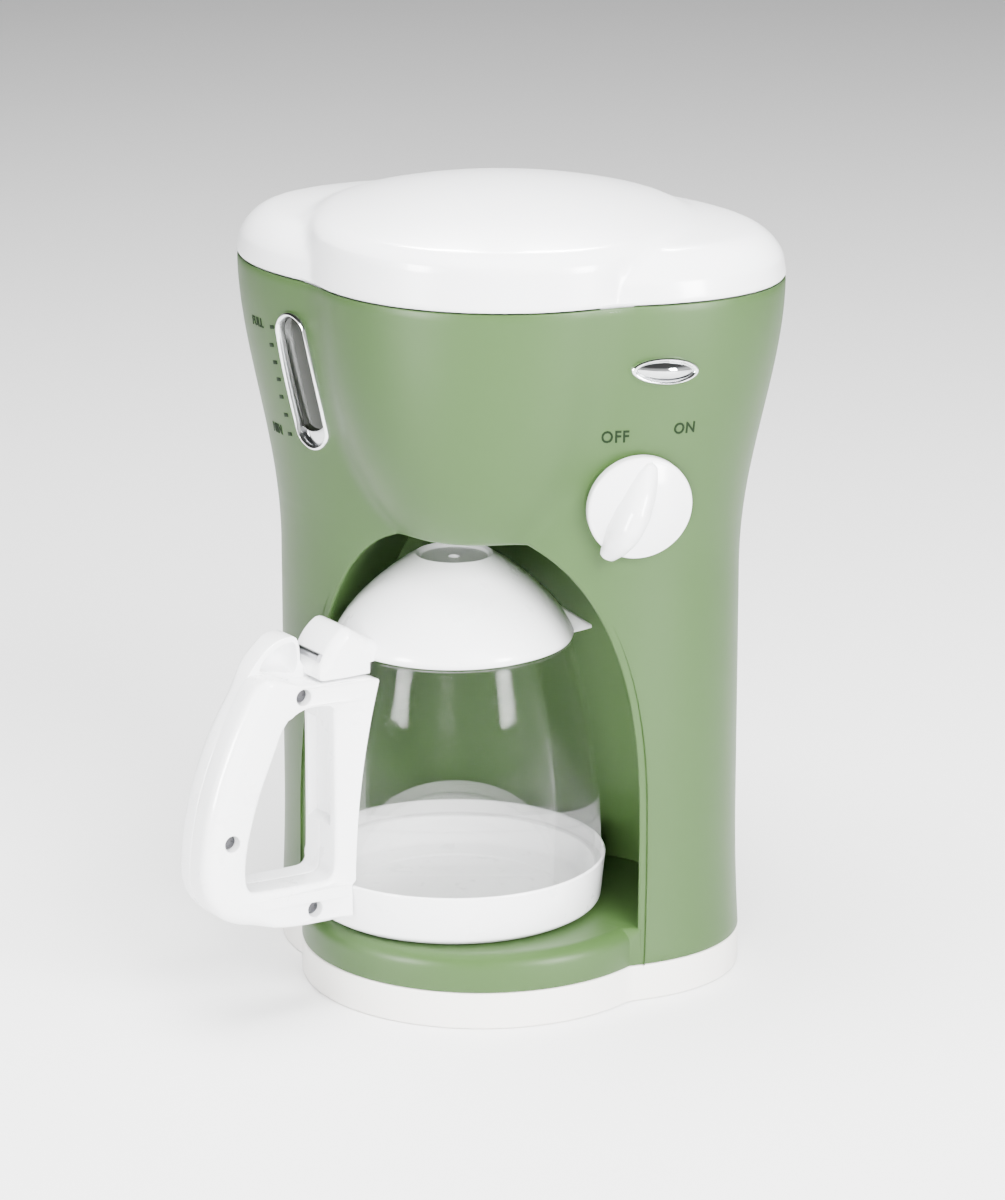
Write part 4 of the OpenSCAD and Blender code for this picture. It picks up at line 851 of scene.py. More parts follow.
alongY = np.array([[1, 0, 0], [0, 0, 1], [0, 1, 0]])      # (across, up, level) with the level along +Y
alongX = np.array([[0, 1, 0], [0, 0, 1], [1, 0, 0]])
gap = rear["doorGap"]
frameRings = [rectangleRing(rear["padHalf"], rear["padLow"], rear["padHigh"], 2.5),
              rectangleRing(rear["doorHalf"], rear["doorLow"], rear["doorHigh"], 0.4)]
seatRings = [rectangleRing(rear["doorHalf"] + gap, rear["doorLow"] - gap, rear["doorHigh"] + gap, 0.4),
             rectangleRing(rear["wayHalf"], rear["wayLow"], rear["wayHigh"], 1.0)]
padFrame = plate(frameRings, rear["padBack"], rear["padFace"], 0, 0.5)
doorSeat = plate(seatRings, rear["doorSeat"] - rear["seatThick"], rear["doorSeat"], 0, 0)


# Knuckle as a plate across the hinge: a round end with an arm, and the hole for the pin
def knuckle(armPoints, centreX, half):
    a = np.linspace(0, 2 * np.pi, 49)[:-1]
    ring = np.stack([np.cos(a), np.sin(a)], 1) * rear["knuckleR"]
    armRing = evenOutline(np.array(armPoints, float), 1.2)
    arm = plate([armRing], centreX - half + 0.05, centreX + half - 0.05, 0.3, 0.3)
    barrel = plate([ring, circleRing(rear["pinR"], 40)], centreX - half, centreX + half, 0.35, 0.35)
    origin = np.array([0, rear["hingeY"], rear["hingeZ"]])
    return [buildMesh("knuckle", *placed(alongX, origin, part)) for part in (barrel, arm)]


rearArm = [(-5.8, -11.0), (-3.0, -11.0), (1.6, -6.0), (1.6, -1.6), (-3.2, -1.2), (-5.8, -1.2)]
rearPieces = [applyModifiers(rearMesh(), ("SOLIDIFY", {"thickness": house["wall"] * mm, "offset": -1}))]
rearPieces += [buildMesh("door frame", *placed(alongY, np.zeros(3), part)) for part in (padFrame, doorSeat)]
for side in (-1, 1):
    rearPieces += knuckle(rearArm, side * rear["knuckleX"], rear["knuckleHalf"])
addPiece("housing_rear", joinMeshes("housing_rear", rearPieces), "machine", "body_green", ["rear_shell"])
print("rear of the housing ready")


# Base moulding

base = dict(low=0.0, top=11.1, sunk=1.2, floorTop=3.4, rim=2.4, roundLow=1.0, roundTop=0.7, crease=1.5,
            wells=((-56, 4), (56, 4), (-16, -62), (16, -62)), wellR=3.2, wellTop=5.2, pillarR=4.8,
            soundY=-26.0, soundStep=4.5, soundR=1.3)


# Plan of the base: the main ellipse and the platform's circle with the crease between them filled
def basePlan(grow, steps=360):
    t = np.arange(steps) * 2 * np.pi / steps
    main = ellipseReach(t, halfW(house["bottomZ"]) + grow, halfD(house["bottomZ"]) + grow)
    disc = circleReach(t, house["platformR"] + grow, -house["platformY"])
    reach = softMax(main, disc, base["crease"])
    return np.stack([reach * np.cos(t), reach * np.sin(t)], 1)


# The base as one closed moulding: rings from the sunk underside out over the rounded rim to the floor, with
# the screw wells, their pillars and the sound holes let in
def baseMesh():
    low, top, rim, sunk, floorTop = (base[key] for key in ("low", "top", "rim", "sunk", "floorTop"))
    rows = [ringAt(basePlan(-rim), sunk), ringAt(basePlan(-rim), low)]
    for radius, level, side in ((base["roundLow"], low, 1), (base["roundTop"], top, -1)):
        for a in np.linspace(0, np.pi / 2, 6)[::side]:
            plan = basePlan(-radius * (1 - math.sin(a)))
            rows.append(ringAt(plan, level + side * radius * (1 - math.cos(a))))
    rows += [ringAt(basePlan(-rim), top), ringAt(basePlan(-rim), floorTop)]
    grids = [closedGrid(rows)]
    under, over = [rows[0]], [rows[-1]]
    for place in base["wells"]:
        well, pillar = circleRing(base["wellR"], 40, place), circleRing(base["pillarR"], 40, place)
        centre = np.full((40, 2), place, float)
        for ring, foot, end in ((well, sunk, base["wellTop"]), (pillar, floorTop, base["wellTop"] + 1)):
            grids.append(closedGrid([ringAt(ring, foot), ringAt(ring, end), ringAt(centre, end)]))
        under.append(ringAt(well, sunk))
        over.append(ringAt(pillar, floorTop))
    for circle in range(3):
        count, away = max(1, 6 * circle), base["soundStep"] * circle
        for a in 2 * math.pi * np.arange(count) / count:
            hole = circleRing(base["soundR"], 20, (away * math.cos(a), base["soundY"] + away * math.sin(a)))
            grids.append(closedGrid([ringAt(hole, sunk), ringAt(hole, floorTop)]))
            under.append(ringAt(hole, sunk))
            over.append(ringAt(hole, floorTop))
    return buildMesh("base_moulding", grids, [under, over])


addPiece("base_moulding", baseMesh(), "machine", "base_white", ["base_plinth"])
print("base ready")


# Lid of the housing

lidForm = dict(low=210.4, wall=2.2, draft=0.8, crease=1.8, edge=0.4,
               sideWall=2.0, sideRound=11.0, sideRise=19.9,
               midWall=9.6, midRound=5.6, midRise=24.9, midR=57.2, midX=3.0, midY=-11.8,
               crownY=-7.0, crownR=62.0, knuckleHalf=9.0,
               insets=[0, .06, .14, .24, .36, .5, .65, .8, 1, 1.3, 1.7, 2.2, 2.8, 3.5, 4.3, 5.2, 6.2, 7.4, 8.8,
                       10.4, 12.2])


# Rise of one lobe at distance d in from its outline and at share q of the way out from the crown's middle: a
# drafted wall, a rounding and a crown that falls off as the square of q
def lobeRise(d, q, wall, rounding, rise):
    up = wall * np.clip(d / lidForm["draft"], 0, 1)
    up = up + 0.9 * rounding * np.sqrt(1 - (1 - np.clip(d / rounding, 0, 1)) ** 2)
    up = up + (rise - wall - 0.9 * rounding) * (1 - q ** 2)
    return np.where(d <= 0, 0, up)


# The side lobes rise from the main ellipse, the middle one from the head's circle; the higher one counts
def lidRise(x, y):
    a, b = halfW(house["seamZ"]), halfD(house["seamZ"])
    q = (x / a) ** 2 + (y / b) ** 2
    slope = 2 * np.hypot(x / a ** 2, y / b ** 2) + 1e-4
    side = lobeRise((1 - q) / slope, np.sqrt(np.clip(q, 0, 1)),
                    lidForm["sideWall"], lidForm["sideRound"], lidForm["sideRise"])
    away = np.hypot(x - lidForm["midX"], y - lidForm["midY"])
    crown = np.clip(np.hypot(x, y - lidForm["crownY"]) / lidForm["crownR"], 0, 1)
    middle = lobeRise(lidForm["midR"] - away, crown,
                      lidForm["midWall"], lidForm["midRound"], lidForm["midRise"])
    return softMax(side, middle, lidForm["crease"])


# Outer skin of the lid as rings from its lower edge in to its middle
def lidMesh():
    t = np.linspace(0, 2 * np.pi, 361)
    t[-1] = 0
    head = np.where(np.sin(t) < 0, circleReach(t, lidForm["midR"], -lidForm["midY"], lidForm["midX"]), 0)
    side = ellipseReach(t, halfW(house["seamZ"]), halfD(house["seamZ"]))
    edge = softMax(side, head, house["crease"])
    inset = np.array(lidForm["insets"])
    reach = [edge - lidForm["edge"] - 0.1] + [edge - i for i in inset]
    reach += [(edge - inset[-1]) * s for s in 1 - np.linspace(0, 1, 36)[1:] ** 0.85]
    reach = np.array(reach)
    x, y = reach * np.cos(t), reach * np.sin(t)
    rise = lidRise(x, y)
    z = lidForm["low"] + rise + lidForm["edge"] * (1 - np.clip(rise / 2, 0, 1))
    z[0] = lidForm["low"]
    return buildMesh("lid", [np.stack([x, y, z], -1)])


lidArm = [(-4.6, 0.5), (0.0, 0.5), (0.0, 3.4), (-4.6, 3.4)]
lidPieces = [applyModifiers(lidMesh(), ("SOLIDIFY", {"thickness": lidForm["wall"] * mm, "offset": -1}))]
lidPieces += knuckle(lidArm, 0, lidForm["knuckleHalf"])
addPiece("housing_lid", joinMeshes("housing_lid", lidPieces), "top_lid", "lid_white", ["top_lid"], angle=50)
print("lid ready")


# Deck under the lid: the housing's plan drawn in, with the filling hole and a low rim round it
deck = dict(low=204.0, top=206.0, inset=3.1, holeX=-18.0, holeHalfW=34.0, holeHalfD=24.0, rim=2.0, rimLow=205.5,
            rimTop=207.4)
deckTurn = np.linspace(0, 2 * np.pi, 241)[:-1]
deckPlan = skinPoint(deckTurn, np.full(240, deck["low"]), -deck["inset"])[:, :2]


# Oval round the filling hole, grown outwards
def fillOval(grow):
    return np.stack([deck["holeX"] + (deck["holeHalfW"] + grow) * np.cos(deckTurn),
                     (deck["holeHalfD"] + grow) * np.sin(deckTurn)], 1)


deckParts = [plate([deckPlan, fillOval(0)], deck["low"], deck["top"], 0.2, 0.4),
             plate([fillOval(deck["rim"]), fillOval(0)], deck["rimLow"], deck["rimTop"], 0, 0.5)]
deckMesh = joinMeshes("inner_deck", [buildMesh("deck", *part) for part in deckParts])
addPiece("inner_deck", deckMesh, "machine", "inner_white", ["top_deck"])


# Window, indicator and knob

# Section of a plated rim as (inset, height), from its foot inside over its crown back to its foot
bezelSection = [(2.4, -2.4), (0.35, -2.4), (0.3, -0.6), (0.0, -0.5), (0.0, 0.75), (0.12, 1.1), (0.4, 1.42),
                (0.8, 1.58), (1.2, 1.55), (1.6, 1.3), (1.95, 0.9), (2.2, 0.3), (2.4, -0.8)]
trims = (("window_trim", "window_bezel", windowPlace, windowRing, 32),
         ("indicator_trim", "indicator_bezel", eyePlace, eyeShape, 40))
for name, node, place, outlineAt, angle in trims:
    ring = rimRing(outlineAt, [(inset * place["trim"], height) for inset, height in bezelSection])
    mesh = buildMesh(name, [layOnWing(*onWing(place), ring)])
    addPiece(name, mesh, "machine", "chrome_trim", [node], angle)

# Mirrored lens of the indicator: the eye's outline drawn in to its middle over a low dome
share = np.concatenate([[1.0], np.cos(np.linspace(0, np.pi / 2, 14))])[:, None, None]
flat = eyeShape(eyePlace["lensInset"])[None] * share
dome = eyePlace["lensEdge"] + eyePlace["lensRise"] * (1 - share ** 2)
lens = np.concatenate([flat, np.broadcast_to(dome, (*flat.shape[:2], 1))], -1)
lens[0, :, 2] = eyePlace["lensLow"]
lensMesh = buildMesh("indicator_window", [layOnWing(*onWing(eyePlace), closedGrid(lens))])
addPiece("indicator_window", lensMesh, "machine", "chrome_trim", ["indicator_lens"], 60, "mirror_lens")

# Foot of the window's opening: a plated plate over its lower end with a hollow upper edge
windowFoot = dict(inset=1.7, top=-13.2, hollow=1.9, low=-1.2, high=0.15, soft=0.12)
lay = lambda points: layOnWing(*onWing(windowPlace), points)
ring = windowRing(windowFoot["inset"], 160)
lower = ring[ring[:, 1] < windowFoot["top"]]
across = np.linspace(-1, 1, 17)[1:-1]
hollowY = windowFoot["top"] - windowFoot["hollow"] * (1 - across ** 2)
hollow = np.stack([across * lower[:, 0].max(), hollowY], 1)
order = np.concatenate([lower[np.argsort(lower[:, 0])], hollow[::-1]])
foot = plate([order], windowFoot["low"], windowFoot["high"], 0, windowFoot["soft"], 2)
footMesh = buildMesh("window_foot", *moved(foot, lay))
addPiece("window_foot", footMesh, "machine", "chrome_trim", finish="mirror_lens")

# Smoked pane of the window, and the dark tray behind it as rings from its outer rim over the floor to its
# inner rim
windowPane = dict(inset=1.85, low=-2.2, high=-0.9)
pane = plate([windowRing(windowPane["inset"])], windowPane["low"], windowPane["high"], 0.1, 0.2, 2)
addPiece("window_pane", buildMesh("window_pane", *moved(pane, lay)), "machine", "window_clear", ["window_lens"])
middle = windowPlace["width"] / 2
tray = rimRing(windowRing, [(1.0, -2.5), (1.0, -7.0), (middle, -7.0), (middle, -6.0), (2.2, -6.0), (2.2, -2.5)])
addPiece("gauge_tray", buildMesh("gauge_tray", [lay(tray)]), "machine", "dark_plastic", ["gauge_channel"])

knobForm = dict(radius=15.5, rim=3.6, crown=7.0, edge=1.1, lift=1.2, bore=3.05, boreDeep=4.0,
                gripTurn=9.0, tailY=-18.5, shortFrom=-8, shortBy=0.8)


# Knob: a disc turned from its half section, with the socket for its shaft underneath
def knobDisc():
    r, rim, crown, deep = knobForm["radius"], knobForm["rim"], knobForm["crown"], knobForm["boreDeep"]
    share = np.linspace(0, 1, 24)[1:]
    dome = [((r - 1.2) * (1 - s), rim + (crown - rim) * (1 - (1 - s) ** 2)) for s in share]
    line = filletLine([(0, deep), (knobForm["bore"], deep), (knobForm["bore"], 0), (r - 0.3, 0, 0.3),
                       (r, rim - 0.2, knobForm["edge"]), (r - 1.2, rim, 0.8), dome[0]], 6)
    return revolve(np.concatenate([line, dome[1:]]))


# Grip of the knob: sections across the ridge, each half an oval on straight flanks. Half width, height and
# foot are tables of (distance along it, value) from the tail beyond the rim to the narrow pointer; the tail
# is drawn in, and the whole grip turned about it so that it passes beside the middle.
gripWidth = [(-20.2, 0), (-19.9, 1.3), (-19, 2.3), (-17, 3.0), (-13, 4.2), (-8, 5.2), (-2, 5.4), (5, 4.4),
             (10, 3.0), (13, 1.6), (13.8, 0)]
gripHigh = [(-20.2, 2.6), (-19.6, 4.8), (-18, 6.6), (-15, 9.0), (-11, 11.4), (-6, 13.0), (0, 12.8), (6, 10.2),
            (10, 7.6), (13, 5.4), (13.8, 4.2)]
gripFoot = [(-20.2, 1.6), (-19, 1.0), (-17.0, 0.8), (-15, 2.0), (13.8, 3.0)]


def knobGrip():
    y = np.concatenate([np.linspace(-20.2, -18.6, 8), np.linspace(-18, 12.6, 44)[1:],
                        np.linspace(12.6, 13.8, 6)[1:]])
    width, high, foot = (np.interp(y, *zip(*table)) for table in (gripWidth, gripHigh, gripFoot))
    a = np.linspace(0, 2 * np.pi, 41)
    a[-1] = 0
    across = np.sign(np.cos(a)) * np.abs(np.cos(a)) ** 0.75
    up = np.sign(np.sin(a)) * np.abs(np.sin(a)) ** 0.85
    middle, half = (high + foot)[:, None] / 2, (high - foot)[:, None] / 2
    level = middle + half * up
    narrow = 1 - 0.42 * smooth((level - foot[:, None] - 2) / (high - foot + 0.01)[:, None])
    grid = np.stack([width[:, None] * across * narrow, np.broadcast_to(y[:, None], level.shape), level], -1)
    grid[0], grid[-1] = grid[0].mean(0), grid[-1].mean(0)
    start = knobForm["shortFrom"]
    drawnIn = start + (grid[..., 1] - start) * knobForm["shortBy"]
    grid[..., 1] = np.where(grid[..., 1] < start, drawnIn, grid[..., 1])
    turn = math.radians(knobForm["gripTurn"])
    c, s, tail = math.cos(turn), math.sin(turn), np.array([0, knobForm["tailY"], 0])
    return (grid - tail) @ np.array([[c, s, 0], [-s, c, 0], [0, 0, 1]]) + tail


axes, origin = onWing(knobPlace)
toKnob = lambda grid: origin + (grid + [0, 0, knobForm["lift"]]) @ axes
knobMeshes = [buildMesh("knob", [toKnob(knobDisc())]), buildMesh("grip", [toKnob(knobGrip())])]
addPiece("turning_knob", joinMeshes("turning_knob", knobMeshes), "knob", "lid_white", ["knob"])
print("window, indicator and knob ready")


# Carafe

pot = dict(x=-6.0, y=-27.8, glassLow=34.4, rimZ=103.6, rimR=34.0, fullR=43.4, drawIn=2.1, wall=1.8,
           beadDrop=2.6, beadZ=102.2, beadTop=102.85, beadAt=102.0, handleTurn=235.0, spoutTurn=30.0,
           collarTop=38.8, collarR=44.75, keepOff=0.25,
           lidFoot=104.0, lidR=34.9, lidRise=28.8, lidPower=1.35, dishR=10.4, dishDeep=1.2, skirtR=29.6)
potMiddle = (pot["x"], pot["y"])


# Outer radius of the glass: full at the collar, drawn in towards the rim
def glassR(z):
    t = np.clip((z - pot["glassLow"]) / (pot["rimZ"] - pot["glassLow"]), 0, 1)
    return pot["rimR"] + (pot["fullR"] - pot["rimR"]) * (1 - t ** pot["drawIn"])


# Half section of the glass: up its outside, over the rounded mouth and down its inside
def glassLine():
    z = np.linspace(pot["glassLow"], pot["rimZ"] - pot["beadDrop"], 44)
    outer = np.stack([glassR(z), z], 1)
    r, low, top = glassR(pot["beadAt"]), pot["beadZ"], pot["beadTop"]
    mouth = [(r, low), (r - 0.15, 102.6), (r - 0.5, top), (r - 1.3, top), (r - 1.65, 102.6), (r - 1.8, low)]
    inner = np.stack([glassR(z) - pot["wall"], z], 1)[::-1]
    return np.concatenate([outer, mouth, inner, outer[:1]])


glassMesh = buildMesh("carafe_body", [revolve(glassLine(), potMiddle)])
addPiece("carafe_body", glassMesh, "carafe", "clear_plastic", ["carafe_glass"])
collarLine = filletLine([(0, 22.8), (40.6, 22.8, 1.2), (43.2, 24.4, 2.0), (44.6, 37.9, 0.7), (43.75, 38.4, 0.3),
                         (43.65, 34.0), (41.0, 34.0, 0.3), (41.0, 25.2, 1.2), (31.4, 25.2, 0.4),
                         (30.9, 24.6, 0.3), (0, 24.6)], 6)
collarMesh = buildMesh("carafe_base_ring", [revolve(collarLine, potMiddle)])
addPiece("carafe_base_ring", collarMesh, "carafe", "carafe_white", ["carafe_collar"])


# Axes of a plane through the carafe's axis: along it outwards, upwards and across to the near side
def potAxes(turn):
    a = math.radians(turn)
    axes = np.array([[math.cos(a), math.sin(a), 0], [0, 0, 1], [-math.sin(a), math.cos(a), 0]])
    return axes, np.array([*potMiddle, 0])


# Radius that the handle keeps off: the collar, then the glass
def potR(z):
    return np.where(z < pot["collarTop"], pot["collarR"], glassR(z) + pot["keepOff"])


# Outer radius of the lid's dome, a fuller kind of oval
def lidOuterR(z):
    u = np.clip((z - pot["lidFoot"] - 1) / pot["lidRise"], 0, 1)
    return pot["lidR"] * (1 - u ** pot["lidPower"]) ** (1 / pot["lidPower"])


# Draws (out, up, across) points out to a radius, so that an inner side hugs a round wall
def hug(points, radius):
    least = np.sqrt(np.clip(radius(points[..., 1]) ** 2 - points[..., 2] ** 2, 0, None))
    return np.stack([np.maximum(points[..., 0], least), points[..., 1], points[..., 2]], -1)


handle = dict(nearHalf=9.5, farHalf=8.5, parting=0.25, soft=4.4, flare=2.5, flareFrom=44.0, flareOver=8.0,
              gapSoft=1.5, gapTopZ=91, gapTopSoft=0.4, postTo=50, steps=6,
              screws=((57, 97), (81.2, 57.5), (54, 32.5)), wellR=2.45, wellFloor=4.5,
              pocketLow=56.0, pocketHigh=86.0, pocketHalf=6.2, pocketDeep=3.1,
              scoopAt=(57.0, 106.4), scoopDeep=7.4)
backCorners = [(20, 28), (58, 27.6), (70, 29.6), (82.5, 32.5), (90.2, 42), (90, 54), (87, 70), (80.5, 86.5)]
nearCorners = backCorners + [(75, 96.5), (71, 103), (67, 104), (62, 102.3), (57.5, 100), (20, 100)]
farCorners = backCorners + [(74, 97), (68.6, 105.2), (63, 111), (57, 112.9), (52.6, 112.2), (52.6, 100),
                            (20, 100)]
gapCorners = [(46.8, 44), (48, 40.6), (51, 40.2), (72, 41), (75.6, 41.6), (76.8, 45), (76.6, 52), (74.6, 61),
              (71.2, 71.5), (66.6, 81.5), (63.4, 89.5), (58.5, 93.6), (50, 93.6), (46.8, 92.4), (46.8, 89)]
scoopCorners = [(53.6, 101.5), (58, 102.4), (62.5, 103.2), (66.8, 103.6), (64.8, 107), (60.4, 110),
                (56.5, 111.2), (53.6, 110.6)]


# Rounding of the handle's outer edges at each outline point: full on the grip, slight where the
# post meets its neighbours and beside the screws
def handleRound(outline, full):
    s, z = outline[:, 0], outline[:, 1]
    grip = smooth((s - 64) / 10)
    foot = 1.4 * smooth((60 - s) / 8) * (z < 60)
    top = 0.2 + 1.6 * smooth((s - 59) / 5)
    return np.maximum(full * grip, np.where(z < 60, np.maximum(foot, 1.4), top))


# One half of the handle: a plate with soft outer edges that hugs the pot and flares beside it. The near half
# has sunk screw holes, the far half a scoop in its upper end; both share a pocket in the post.
def handleHalf(name, side):
    near = side > 0
    high = handle["nearHalf"] if near else handle["farHalf"]
    outline = evenOutline(cutCorners(nearCorners if near else farCorners, 3), 1.3)
    gap = evenOutline(cutCorners(gapCorners, 3), 1.3)
    gapRound = np.where(gap[:, 1] > handle["gapTopZ"], handle["gapTopSoft"], handle["gapSoft"])
    rounds, steps = [handleRound(outline, handle["soft"]), gapRound], handle["steps"]
    grids, (inner, outer) = plate([outline, gap], 0, high, handle["parting"], rounds, steps)
    besidePot = gap[:, 0] < handle["postTo"]
    inPocket = besidePot & (gap[:, 1] > handle["pocketLow"]) & (gap[:, 1] < handle["pocketHigh"])
    shift = np.where(inPocket, handle["pocketDeep"], 0)
    rows, shiftRow = grids[1], np.append(shift, shift[0])
    low = rows[:steps + 1] - shiftRow[:, None] * [1, 0, 0]
    step = [row * [1, 1, 0] + [0, 0, handle["pocketHalf"]] for row in (low[steps], rows[steps])]
    grids[1] = np.concatenate([low, step, rows[steps + 1:]])
    inner[1] = inner[1] - shift[:, None] * [1, 0, 0]
    if near:
        for place in handle["screws"]:
            ring, soft = circleRing(handle["wellR"], 36, place), circleRing(handle["wellR"] + 0.35, 36, place)
            well = [ringAt(soft, high), ringAt(ring, high - 0.35), ringAt(ring, handle["wellFloor"])]
            grids.append(closedGrid(well + [ringAt(np.full((36, 2), place, float), handle["wellFloor"])]))
            outer.append(ringAt(soft, high))
    else:
        scoop = evenOutline(cutCorners(scoopCorners, 2), 0.9)
        middle = np.array(handle["scoopAt"])
        bowl = [ringAt(lerp(scoop, middle, share), handle["scoopDeep"] * math.sqrt(1 - (1 - share) ** 2))
                for share in 1 - np.cos(np.linspace(0, np.pi / 2, 9))]
        grids.append(closedGrid(bowl))
        inner.append(ringAt(scoop, 0))

    def fitted(points):
        near = smooth((handle["flareFrom"] - points[..., 0]) / handle["flareOver"])
        flare = handle["flare"] * near * points[..., 2] / high
        wide = np.stack([points[..., 0], points[..., 1], points[..., 2] + flare], -1)
        return hug(wide, potR) * [1, 1, side]

    return buildMesh(name, *placed(*potAxes(pot["handleTurn"]), moved((grids, (inner, outer)), fitted)))


for name, node, side in (("handle_near", "handle_near_half", 1), ("handle_far", "handle_far_half", -1)):
    addPiece(name, handleHalf(name, side), "carafe", "carafe_white", [node])


# Lid of the carafe

# Half section of the lid: its foot, the dome, the dish with the hollow for a finger, the inside and the skirt
def potLidLine():
    foot, skirtR, dishR = pot["lidFoot"], pot["skirtR"], pot["dishR"]
    u = np.sin(np.linspace(0, np.pi / 2, 60))
    r = pot["lidR"] * np.clip(1 - u ** pot["lidPower"], 0, 1) ** (1 / pot["lidPower"])
    dome = np.stack([r, foot + 1 + pot["lidRise"] * u], 1)
    dome = dome[dome[:, 0] > dishR + 0.6]
    dishZ = dome[-1, 1] - pot["dishDeep"]
    innerDome = np.stack([(r - 2.0 * (r / pot["lidR"]) ** 0.3), dome[0, 1] + (pot["lidRise"] - 2.2) * u], 1)
    innerDome = innerDome[(innerDome[:, 0] > dishR + 2.5) & (innerDome[:, 0] < skirtR)][::-1]
    outer = filletLine([(31.3, foot - 1.2), (31.3, foot), (34.5, foot, 0.3), tuple(dome[0])], 4)
    dish = filletLine([tuple(dome[-1]), (dishR, dishZ + 0.75, 0.4), (dishR - 0.6, dishZ, 0.5), (1.6, dishZ),
                       (1.6, dishZ - 2.0), (dishR + 2.0, dishZ - 2.0)], 4)
    skirt = np.array([(skirtR, foot + 2.2), (skirtR, foot - 1.2), (31.3, foot - 1.2)])
    return np.concatenate([outer, dome[1:], dish[1:], innerDome, skirt])


spout = dict(start=26.0, end=40.6, half=7.8, tipHalf=0.4, low=104.2, lowTip=104.6, high=116.0, highTip=105.2)


# Pouring lip: sections from the dome out to a blunt beak, each an arch over a flat underside
def spoutGrid():
    u = np.linspace(0, 1, 24)[:, None]
    a = np.linspace(0, 2 * np.pi, 33)[None]
    out = lerp(spout["start"], spout["end"], u)
    half = spout["half"] * (1 - u) ** 0.8 + spout["tipHalf"]
    low = lerp(spout["low"], spout["lowTip"], u)
    high = lerp(spout["high"], spout["highTip"], u ** 0.9)
    across = np.cos(a) * half
    sine = np.abs(np.sin(a))
    up = np.where(np.sin(a) > 0, sine ** 1.25 * (high - low), -0.25 * sine ** 0.5)
    grid = np.stack([out + 0 * a, low + up, across], -1)
    first, last = (np.broadcast_to(end.mean(1, keepdims=True), end.shape) for end in (grid[:1], grid[-1:]))
    return np.concatenate([first, grid, last])


tabCorners = [(24, 100.6), (50.6, 100.6), (51.9, 101.6), (50.9, 104.6), (48.8, 109), (46.2, 112.6), (42, 115.6),
              (38.5, 113.2), (33, 109.6), (24, 107)]
tabAway = 36.3                                # radius that the tab keeps off below the lid's foot


# Thumb tab: a plate as thick as the handle, with a soft top and outer end and a sharper foot
def tabMesh():
    outline = evenOutline(cutCorners(tabCorners, 1), 1.2)
    share = smooth((outline[:, 1] - 101) / 6)
    soft, far = lerp(0.35, 3.2, share), lerp(0.35, 1.8, share)
    tab = plate([outline], -handle["farHalf"], handle["nearHalf"], [far], [soft], handle["steps"])
    inside = lambda z: np.where(z < pot["lidFoot"], tabAway, lidOuterR(z) - 1.2)
    return buildMesh("tab", *placed(*potAxes(pot["handleTurn"]), moved(tab, lambda p: hug(p, inside))))


spoutAxes, potOrigin = potAxes(pot["spoutTurn"])
potLidMeshes = [buildMesh("dome", [revolve(potLidLine(), potMiddle)]),
                buildMesh("spout", [potOrigin + spoutGrid() @ spoutAxes]), tabMesh()]
addPiece("carafe_cover", joinMeshes("carafe_cover", potLidMeshes), "carafe_lid", "carafe_white", ["carafe_lid"],
         angle=40)
print("carafe ready")


# Lettering and marks

letters = dict(spacing=1.1, bold=0.09, deep=0.22, narrow=0.88, lift=0.18, capitalShare=0.7)
words = [("OFF", 3.5, dict(x=48.5, z=171.8, turn=0)), ("ON", 3.3, dict(x=64.9, z=173.1, turn=0))]
levelWords = [("FULL", 2.6, dict(x=-65.3, z=193.7, turn=2.0)), ("MIN", 2.8, dict(x=-60.3, z=161.8, turn=2.0))]
ticks = [(-58.1, 194.0), (-58.9, 188.3), (-57.9, 183.2), (-56.9, 178.2), (-56.4, 172.9), (-55.0, 167.6),
         (-54.0, 161.9)]
tickForm = dict(width=2.3, height=1.15, turn=9.0, deep=0.3, lift=0.18, soft=0.08)


# Raised letters on the wing: flat text in millimetres, laid on the skin point by point
def letterMesh(word, height, place):
    curve = bpy.data.curves.new(word, "FONT")
    curve.body = word
    curve.size = height / letters["capitalShare"]
    curve.align_x = curve.align_y = "CENTER"
    curve.space_character = letters["spacing"]
    curve.offset = letters["bold"]
    curve.extrude = letters["deep"]
    curve.resolution_u = 3
    holder = bpy.data.objects.new(word, curve)
    bpy.context.scene.collection.objects.link(holder)
    bpy.context.view_layer.update()
    mesh = bpy.data.meshes.new_from_object(holder.evaluated_get(bpy.context.evaluated_depsgraph_get()))
    bpy.data.objects.remove(holder)
    flat = np.empty(len(mesh.vertices) * 3)
    mesh.vertices.foreach_get("co", flat)
    flat = flat.reshape(-1, 3)
    flat *= [letters["narrow"], 1, 1]
    flat[:, 2] += letters["lift"] - letters["deep"]
    mesh.vertices.foreach_set("co", (layOnWing(*onWing(place), flat) * mm).ravel())
    mesh.materials.clear()
    return mesh


# Short bar on the wing: a small rounded plate
def tickMesh(x, z):
    width, height = tickForm["width"], tickForm["height"]
    corners = np.array([(-width, -height), (width, -height), (width, height), (-width, height)]) / 2
    ring = evenOutline(corners, 0.4)
    bar = plate([ring], -tickForm["deep"], tickForm["lift"], 0, tickForm["soft"], 2)
    place = onWing(dict(x=x, z=z, turn=tickForm["turn"]))
    return buildMesh("tick", *moved(bar, lambda p: layOnWing(*place, p)))


wordMeshes = [letterMesh(*word) for word in words]
addPiece("switch_lettering", joinMeshes("switch_lettering", wordMeshes), "machine", "body_green",
         finish="mark_green")
markMeshes = [tickMesh(*tick) for tick in ticks] + [letterMesh(*word) for word in levelWords]
addPiece("level_marks", joinMeshes("level_marks", markMeshes), "machine", "body_green", finish="mark_green")
print("lettering ready")


# Finishes of the pieces that stay as they are

